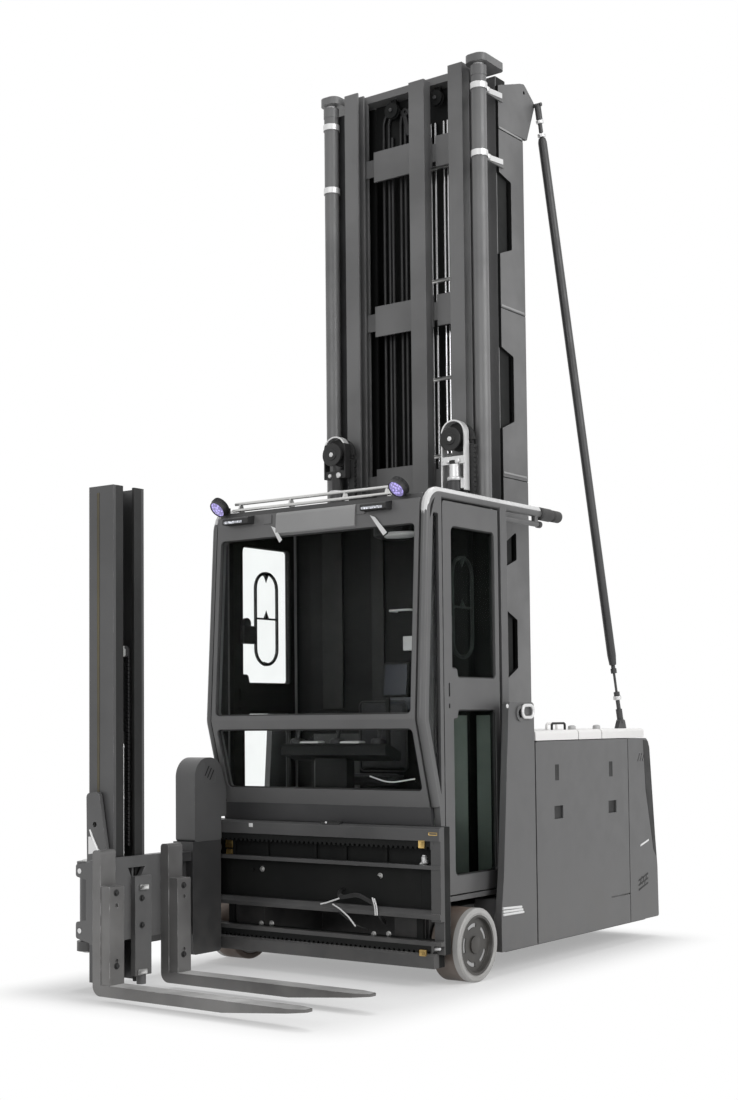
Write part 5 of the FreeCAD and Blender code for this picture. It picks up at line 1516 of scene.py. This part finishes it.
    def pulley(self, side: int, name: str) -> Iterable[Trim]:
        """The dished disc and the pins of one free-lift pulley.

        Args:
            side: -1 for the right pulley and 1 for the left one.
            name: The side in words.

        Returns:
            The two pieces.
        """
        x, z, body = self.pulley_x * side, self.pulley_z, "free_lift_heads"
        dish = ((0, 0.066), (0.003, 0.069), (0.007, 0.069), (0.009, 0.062), (0.006, 0.050),
                (0.006, 0.034), (0.0105, 0.032))
        nut = ((0, 0.013), (0.001, 0.015), (0.003, 0.015), (0.0042, 0.010))
        return (Trim(f"pulley_disc_{name}", body, Look.SEAL, "dark_grey",
                     [Turned(dish, (x, 0.9250, z), FORE, 48)]),
                Trim(f"pulley_pins_{name}", body, Look.BRIGHT, "bright_steel", [
                    Turned(nut, (x, 0.9148, z), FORE, 6),
                    Turned(pin(0.017, 0.006, 0.008, 0.012), (x + 0.030, 0.949, 2.862), FORE, 20),
                    Turned(pin(0.012, 0.007, 0.009, 0.008), (x - 0.034, 0.949, 2.862), FORE,
                           20)]))


@dataclass(frozen=True)
class HeadTrim(Assembly):
    """Bolts, lever, painted-highlight fork skins, slide strip, pipe and vents on the fork head.

    Attributes:
        hinge_z: Heights of the hinge pins.
        bolts: Where the carriage's bolts are.
        blades: Name and front edge of each blade.
        blade_wide: Width of a blade.
        blade_highlight_z: Height of the skins, painted highlights, on the blades.
        pipe: Middle line of the bright pipe along x and y.
        clips: Heights of its clips.
        vent_x: Outer face of the vent plate.
        vents: Lower front corner of each vent slot along y and z.
    """

    hinge_z: Span = (0.6435, 0.3485)
    bolts: tuple[Spot, ...] = (
        (-0.270, -1.056, 0.543), (-0.270, -1.054, 0.187), (-0.270, -0.573, 0.538),
        (-0.270, -0.575, 0.186), (-0.355, -0.791, 0.488), (-0.355, -0.791, 0.352))
    blades: tuple[tuple[str, float], ...] = (("front", -1.105), ("rear", -0.622))
    blade_wide: float = 0.105
    blade_highlight_z: float = 0.0948
    pipe: Span = (-0.440, -0.838)
    clips: Spot = (0.712, 0.990, 1.252)
    vent_x: float = -0.6458
    vents: tuple[Span, ...] = ((0.006, 1.076), (0.026, 1.064), (0.046, 1.052))

    def pieces(self) -> Iterable[Trim]:
        """Its pieces, in the order in which they are built."""
        yield from self.carriage()
        for name, near in self.blades:
            yield self.skin(name, near)
        yield Trim("slide_strip", "swing_head", Look.SLIDE, "dark_grey", [
            Block((-0.541, -0.525), (-0.9225, -0.9195), (0.660, 2.560),
                  Press(FORE, 0.002, 0.0008, 0.0006, 1))])
        yield Trim("mast_pipe", "swing_head", Look.BRIGHT, "bright_steel", [
            Rod(((*self.pipe, 0.700), (*self.pipe, 1.270)), 0.0048),
            *(Turned(((0, 0.0068), (0.010, 0.0068)), (*self.pipe, z), UP, 16)
              for z in self.clips)])
        yield Trim("vent_plate", "turret", Look.HEAD, "dark_grey", [
            Plate([(-0.6475, y, z) for y, z in (
                (0.002, 1.038), (0.096, 1.038), (0.096, 1.146), (0.002, 1.146))],
                  (0.0018, 0, 0), 0.008, eased(0.0006, 1))])
        x = self.vent_x
        yield Trim("vent_slots", "turret", Look.SEAL, "dark_grey", [
            Plate(((x, y, z), (x, y + 0.009, z), (x, y + 0.043, z + 0.055),
                   (x, y + 0.034, z + 0.055)), (0.0008, 0, 0), 0.003) for y, z in self.vents])

    def carriage(self) -> Iterable[Trim]:
        """The tilt lever, hinge pins, pivot caps, bolts and clamps."""
        yield Trim("tilt_lever", "fork_carriage", Look.BRIGHT, "steel", [
            Rod(((-0.566, -0.946, 0.835), (-0.545, -0.952, 0.800), (-0.505, -0.952, 0.735),
                 (-0.470, -0.946, 0.716)), 0.0065, 0.012),
            Plate(((-0.575, -0.951, 0.800), (-0.560, -0.951, 0.802), (-0.505, -0.951, 0.722),
                   (-0.575, -0.951, 0.712)), (0, 0.003, 0))])
        yield Trim("hinge_pins", "fork_carriage", Look.BRIGHT, "steel", [
            Turned(((0, 0.013), (0.0012, 0.013), (0.0024, 0.009), (0.0030, 0.006)),
                   (-0.480, -1.1018, z), FORE, 20) for z in self.hinge_z])
        yield Trim("pivot_caps", "turret", Look.STEEL, "steel", [
            Turned(pin(0.034, 0.006, 0.010, 0.026), (-0.720, -0.810, z), way, 32)
            for z, way in ((0.660, UP), (0.200, -UP))])
        yield bolts("fork_bolts", "fork_carriage", LEFT, self.bolts, 0.021, Look.SEAL)
        yield Trim("fork_clamps", "fork_carriage", Look.STEEL, "steel", [
            Block((-0.3555, -0.340), (-0.812, -0.752), (0.530, 0.556),
                  Press(LEFT, 0.005, 0.003, 0.003)),
            Block((-0.3555, -0.344), (-0.822, -0.760), (0.104, 0.132),
                  Press(LEFT, 0.005, 0.003, 0.003))])

    def skin(self, name: str, near: float) -> Trim:
        """The bright skin on the top of one blade: a painted highlight.

        Args:
            name: The blade's name.
            near: Its edge towards the front of the truck.

        Returns:
            The piece.
        """
        far = near + self.blade_wide
        outline = ((-0.270, near + 0.002), (0.845, near + 0.002), (0.925, near + 0.032),
                   (0.925, far - 0.032), (0.845, far - 0.002), (-0.270, far - 0.002))
        return Trim(f"fork_{name}_skin", "fork_carriage", Look.BLADE_TOP_HIGHLIGHT, "steel", [
            Plate([(x, y, self.blade_highlight_z) for x, y in outline], (0, 0, 0.0009), 0.008)])


@dataclass(frozen=True)
class ChassisTrim(Assembly):
    """Shackles, white bars, lids' handles, blanks, strips and flashes on the chassis.

    Attributes:
        shackles: Side and wire radius of each shackle.
        marks: Ends of the white bars along y and z.
        blanks: Middles of the side panels' blanked holes along y.
        side_x: Outer face of the tail's side.
        tail: Outline of the tail's dark edge strip along y and z.
        louvres: Heights of its louvres.
    """

    shackles: tuple[Span, Span] = ((0.8700, 0.0095), (-0.8600, 0.0058))
    marks: tuple[Spot, ...] = ((0.722, 0.357, 0.917, 0.348), (0.724, 0.339, 0.928, 0.333),
                               (0.726, 0.322, 0.938, 0.318))
    blanks: Span = (1.340, 1.997)
    side_x: float = 0.8572
    tail: tuple[Span, ...] = ((2.436, 1.240), (2.500, 1.232), (2.520, 1.190), (2.592, 0.500),
                              (2.556, 0.545), (2.462, 0.923))
    louvres: Spot = (0.368, 0.339, 0.310)

    def pieces(self) -> Iterable[Trim]:
        """Its pieces, in the order in which they are built."""
        yield Trim("shackles", "chassis", Look.BRIGHT, "steel", [
            *(Rod(((x, 0.943, 1.386), (x, 0.943, 1.452), (x, 1.058, 1.452), (x, 1.058, 1.386)),
                  radius, 0.030, True) for x, radius in self.shackles),
            *(Turned(pin(0.012, 0.003, 0.005, 0.009), (x, 0.788, 1.448), way, 20)
              for x, way in ((0.8645, LEFT), (-0.8600, -LEFT)))])
        yield Trim("side_marks", "chassis", Look.WHITE, "pale_cover", [
            Rod(((0.8590, near, low), (0.8590, far, high)), 0.0068)
            for near, low, far, high in self.marks], both=True)
        yield Trim("lid_handles", "chassis", Look.SEAL, "dark_grey", [
            Rod(((x, 1.388, 1.308), (x, 1.388, 1.350), (x, 1.540, 1.350), (x, 1.540, 1.308)),
                0.007, 0.014) for x in (0.80, -0.80)])
        yield Trim("lid_knobs", "chassis", Look.PALE, "bright_steel", [
            Turned(((0, 0.022), (0.010, 0.024), (0.026, 0.022), (0.032, 0.012)),
                   (0.80, y, 1.306), UP, 28) for y in (1.625, 1.930)], both=True)
        yield Trim("panel_blanks", "chassis", Look.SEAL, "dark_grey", [
            shape for y in self.blanks for shape in (
                Block((0.8568, 0.8582), (y - 0.020, y + 0.020), (1.024, 1.115),
                      Press(LEFT, 0.004, 0.0008)),
                Block((0.8462, 0.8476), (y - 0.0365, y + 0.0645), (0.8055, 0.8785),
                      Press(LEFT, 0.004, 0.0006)))], both=True)
        yield from self.tail_trim()

    def tail_trim(self) -> Iterable[Trim]:
        """The tail's dark edge strips with their louvres, and its bright flashes."""
        x = self.side_x
        yield Trim("tail_strips", "chassis", Look.SEAL, "dark_grey", [
            Plate([(x, y, z) for y, z in self.tail], (0.0012, 0, 0), 0.006),
            *(Plate(((x, 2.340, z - 0.006), (x, 2.470, z + 0.029), (x, 2.470, z + 0.040),
                     (x, 2.340, z + 0.005)), (0.0012, 0, 0), 0.003) for z in self.louvres)],
                   both=True)
        yield Trim("tail_flashes", "chassis", Look.WHITE, "pale_cover", [
            Plate(((x, 2.371, 0.576), (x, 2.486, 0.604), (x, 2.488, 0.616), (x, 2.373, 0.588)),
                  (0.0016, 0, 0), 0.003)], both=True)


@dataclass(frozen=True)
class WheelTrim(Assembly):
    """A load wheel's pale ring behind its slots, and the cap on its hub.

    Attributes:
        side: -1 for the right wheel and 1 for the left one.
        name: The side in words.
        ring_x: Distance of the ring's inner face from the centre line.
        cap_x: Distance of the cap's inner face from it.
        hub: The wheel's axis along y and z.
    """

    side: int
    name: str
    ring_x: float = 0.8335
    cap_x: float = 0.8425
    hub: Span = (0.464, 0.193)

    def pieces(self) -> Iterable[Trim]:
        """Its pieces, in the order in which they are built."""
        wheel, out = f"load_wheel_{self.name}", LEFT * self.side
        ring = ((0, 0.088), (0, 0.118), (0.002, 0.118), (0.003, 0.114), (0.003, 0.092),
                (0.002, 0.088), (0, 0.088))
        cap = ((0, 0.046), (0.008, 0.046), (0.0105, 0.042), (0.0105, 0.030), (0.0125, 0.026))
        yield Trim(f"wheel_{self.name}_ring", wheel, Look.PALE, "bright_steel",
                   [Turned(ring, (self.ring_x * self.side, *self.hub), out, 48, False)])
        yield Trim(f"wheel_{self.name}_cap", wheel, Look.DISC, "rim",
                   [Turned(cap, (self.cap_x * self.side, *self.hub), out, 48)])


PARTS: tuple[Assembly | SeatPad, ...] = (
    RoofTrim(), DoorTrim(-1, "right"), DoorTrim(1, "left"), CabInside(), SeatPad(),
    TraverseTrim(), MastTrim(), HeadTrim(), ChassisTrim(), WheelTrim(-1, "right"),
    WheelTrim(1, "left"))


# ---------------------------------------------------------------- studio


@dataclass(frozen=True)
class Softbox:
    """One large soft lamp.

    Attributes:
        name: Lamp name.
        place: Where it hangs.
        aim: What it looks at.
        size: Width and height.
        power: Watts.
    """

    name: str
    place: Spot
    aim: Spot
    size: Span
    power: float

    def hang(self) -> None:
        """Adds the lamp to the scene."""
        light = bpy.data.lights.new(self.name, "AREA")
        light.shape = "RECTANGLE"
        light.size, light.size_y = self.size
        light.energy = self.power
        lamp = bpy.data.objects.new(self.name, light)
        bpy.context.scene.collection.objects.link(lamp)
        lamp.location = self.place
        lamp.rotation_euler = (Vector(self.aim) - Vector(self.place)).to_track_quat(
            "-Z", "Y").to_euler()


@dataclass(frozen=True)
class Studio:
    """Floor, background, lamps and camera.

    Attributes:
        reach: How far the floor goes on every side.
        patch: Half sizes of the space round the truck where the floor shows its shadows.
        fade: Width of the band in which they fade out.
        veil: How much of plain white lies over them, 0 to 1.
        ambient: Strength of the even light from all round.
        boxes: The soft lamps.
        eye: Where the camera stands.
        yaw: The camera's turn to its left of straight back, in degrees.
        pitch: Its tilt above the level, in degrees.
        roll: Its turn about its own line of sight, in degrees.
        lens: Focal length in millimetres.
        shift: How far the frame is moved up, as a part of its height.
    """

    reach: float = 60.0
    patch: Spot = (0.85, 1.70, 10.0)
    fade: float = 0.45
    veil: float = 0.35
    ambient: float = 0.34
    boxes: tuple[Softbox, ...] = (
        Softbox("key softbox", (9.0, -0.5, 6.2), (0.0, 0.2, 2.8), (6.0, 6.0), 430.0),
        Softbox("front softbox", (1.5, -10.0, 4.6), (0.0, 0.0, 2.4), (5.0, 4.0), 190.0),
        Softbox("top softbox", (-0.6, 1.6, 10.0), (0.0, 0.0, 0.0), (5.0, 5.0), 380.0))
    eye: Spot = (5.350745, -7.416813, 1.375464)
    yaw: float = 36.188686
    pitch: float = 3.117078
    roll: float = -0.563072
    lens: float = 51.9994
    shift: float = 0.07655

    def light_rays(self, desk: NodeDesk) -> bpy.types.NodeSocket:
        """1 for rays that the eye sees straight on, mirrored or through glass."""
        path = desk.add("ShaderNodeLightPath")
        seen = desk.sums("MAXIMUM", path.outputs["Is Camera Ray"], path.outputs["Is Glossy Ray"])
        return desk.sums("MAXIMUM", seen, path.outputs["Is Transmission Ray"])

    def set_floor(self) -> None:
        """Lays the pale floor, which fades to plain white away from the truck."""
        Bench.clear()
        bpy.ops.mesh.primitive_plane_add(size=2 * self.reach, location=(0, 0, 0))
        floor = bpy.context.object
        floor.name = "studio_floor"
        made = bpy.data.materials.new("studio floor, white")
        made.use_nodes = True
        desk = NodeDesk(made.node_tree)
        desk.shader.inputs["Base Color"].default_value = (0.92, 0.92, 0.92, 1.0)
        desk.shader.inputs["Roughness"].default_value = 0.9
        desk.shader.inputs["Specular IOR Level"].default_value = 0.0
        apart = desk.vectors("ABSOLUTE", desk.place(), (0.0, 0.0, 0.0))
        gap = desk.vectors("SUBTRACT", apart, self.patch)
        gap = desk.vectors("MAXIMUM", gap, (0.0, 0.0, 0.0))
        fade = desk.ramp(desk.length(gap), 0.0, self.fade, self.veil, 1.0)
        glow = desk.add("ShaderNodeEmission")
        lit = desk.add("ShaderNodeMixShader")
        amount = desk.sums("MULTIPLY", self.light_rays(desk), fade)
        desk.join(amount, lit.inputs[0])
        desk.join(desk.shader.outputs[0], lit.inputs[1])
        desk.join(glow.outputs[0], lit.inputs[2])
        desk.join(lit.outputs[0], desk.tree.nodes["Material Output"].inputs["Surface"])
        floor.data.materials.append(made)

    def set_world(self) -> None:
        """Makes the background white and the even light softer than it."""
        world = bpy.data.worlds.new("studio")
        world.use_nodes = True
        bpy.context.scene.world = world
        nodes = world.node_tree.nodes
        background = nodes["Background"]
        desk = NodeDesk(world.node_tree)
        strength = desk.ramp(self.light_rays(desk), 0.0, 1.0, self.ambient, 1.0)
        desk.join(strength, background.inputs["Strength"])
        background.inputs["Color"].default_value = (1.0, 1.0, 1.0, 1.0)

    def set_camera(self) -> None:
        """Stands the camera where it sees the truck from its left front corner."""
        yaw, pitch, roll = (math.radians(turn) for turn in (self.yaw, self.pitch, self.roll))
        ahead = Vector((-math.sin(yaw) * math.cos(pitch), math.cos(yaw) * math.cos(pitch),
                        math.sin(pitch)))
        level = Vector((math.cos(yaw), math.sin(yaw), 0))
        above = level.cross(ahead)
        right = level * math.cos(roll) + above * math.sin(roll)
        up = above * math.cos(roll) - level * math.sin(roll)
        data = bpy.data.cameras.new("camera")
        data.lens = self.lens
        data.sensor_width = 36.0
        data.shift_y = self.shift
        data.clip_end = 200.0
        camera = bpy.data.objects.new("camera", data)
        bpy.context.scene.collection.objects.link(camera)
        turn = Matrix((right, up, -ahead)).transposed().to_4x4()
        camera.matrix_world = Matrix.Translation(self.eye) @ turn
        bpy.context.scene.camera = camera

    def set_up(self) -> None:
        """Builds the whole studio."""
        self.set_floor()
        self.set_world()
        for box in self.boxes:
            box.hang()
        self.set_camera()
        view = bpy.context.scene.view_settings
        view.view_transform = "Standard"
        LOG.info("set up the studio")


def main() -> None:
    """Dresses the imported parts, adds the trim and sets up the studio."""
    logging.basicConfig(level=logging.INFO, format="%(name)s: %(message)s")
    dress_nodes()
    for part in PARTS:
        LOG.info("building %s", type(part).__name__)
        part.build()
    Studio().set_up()


if __name__ == "__main__":
    main()
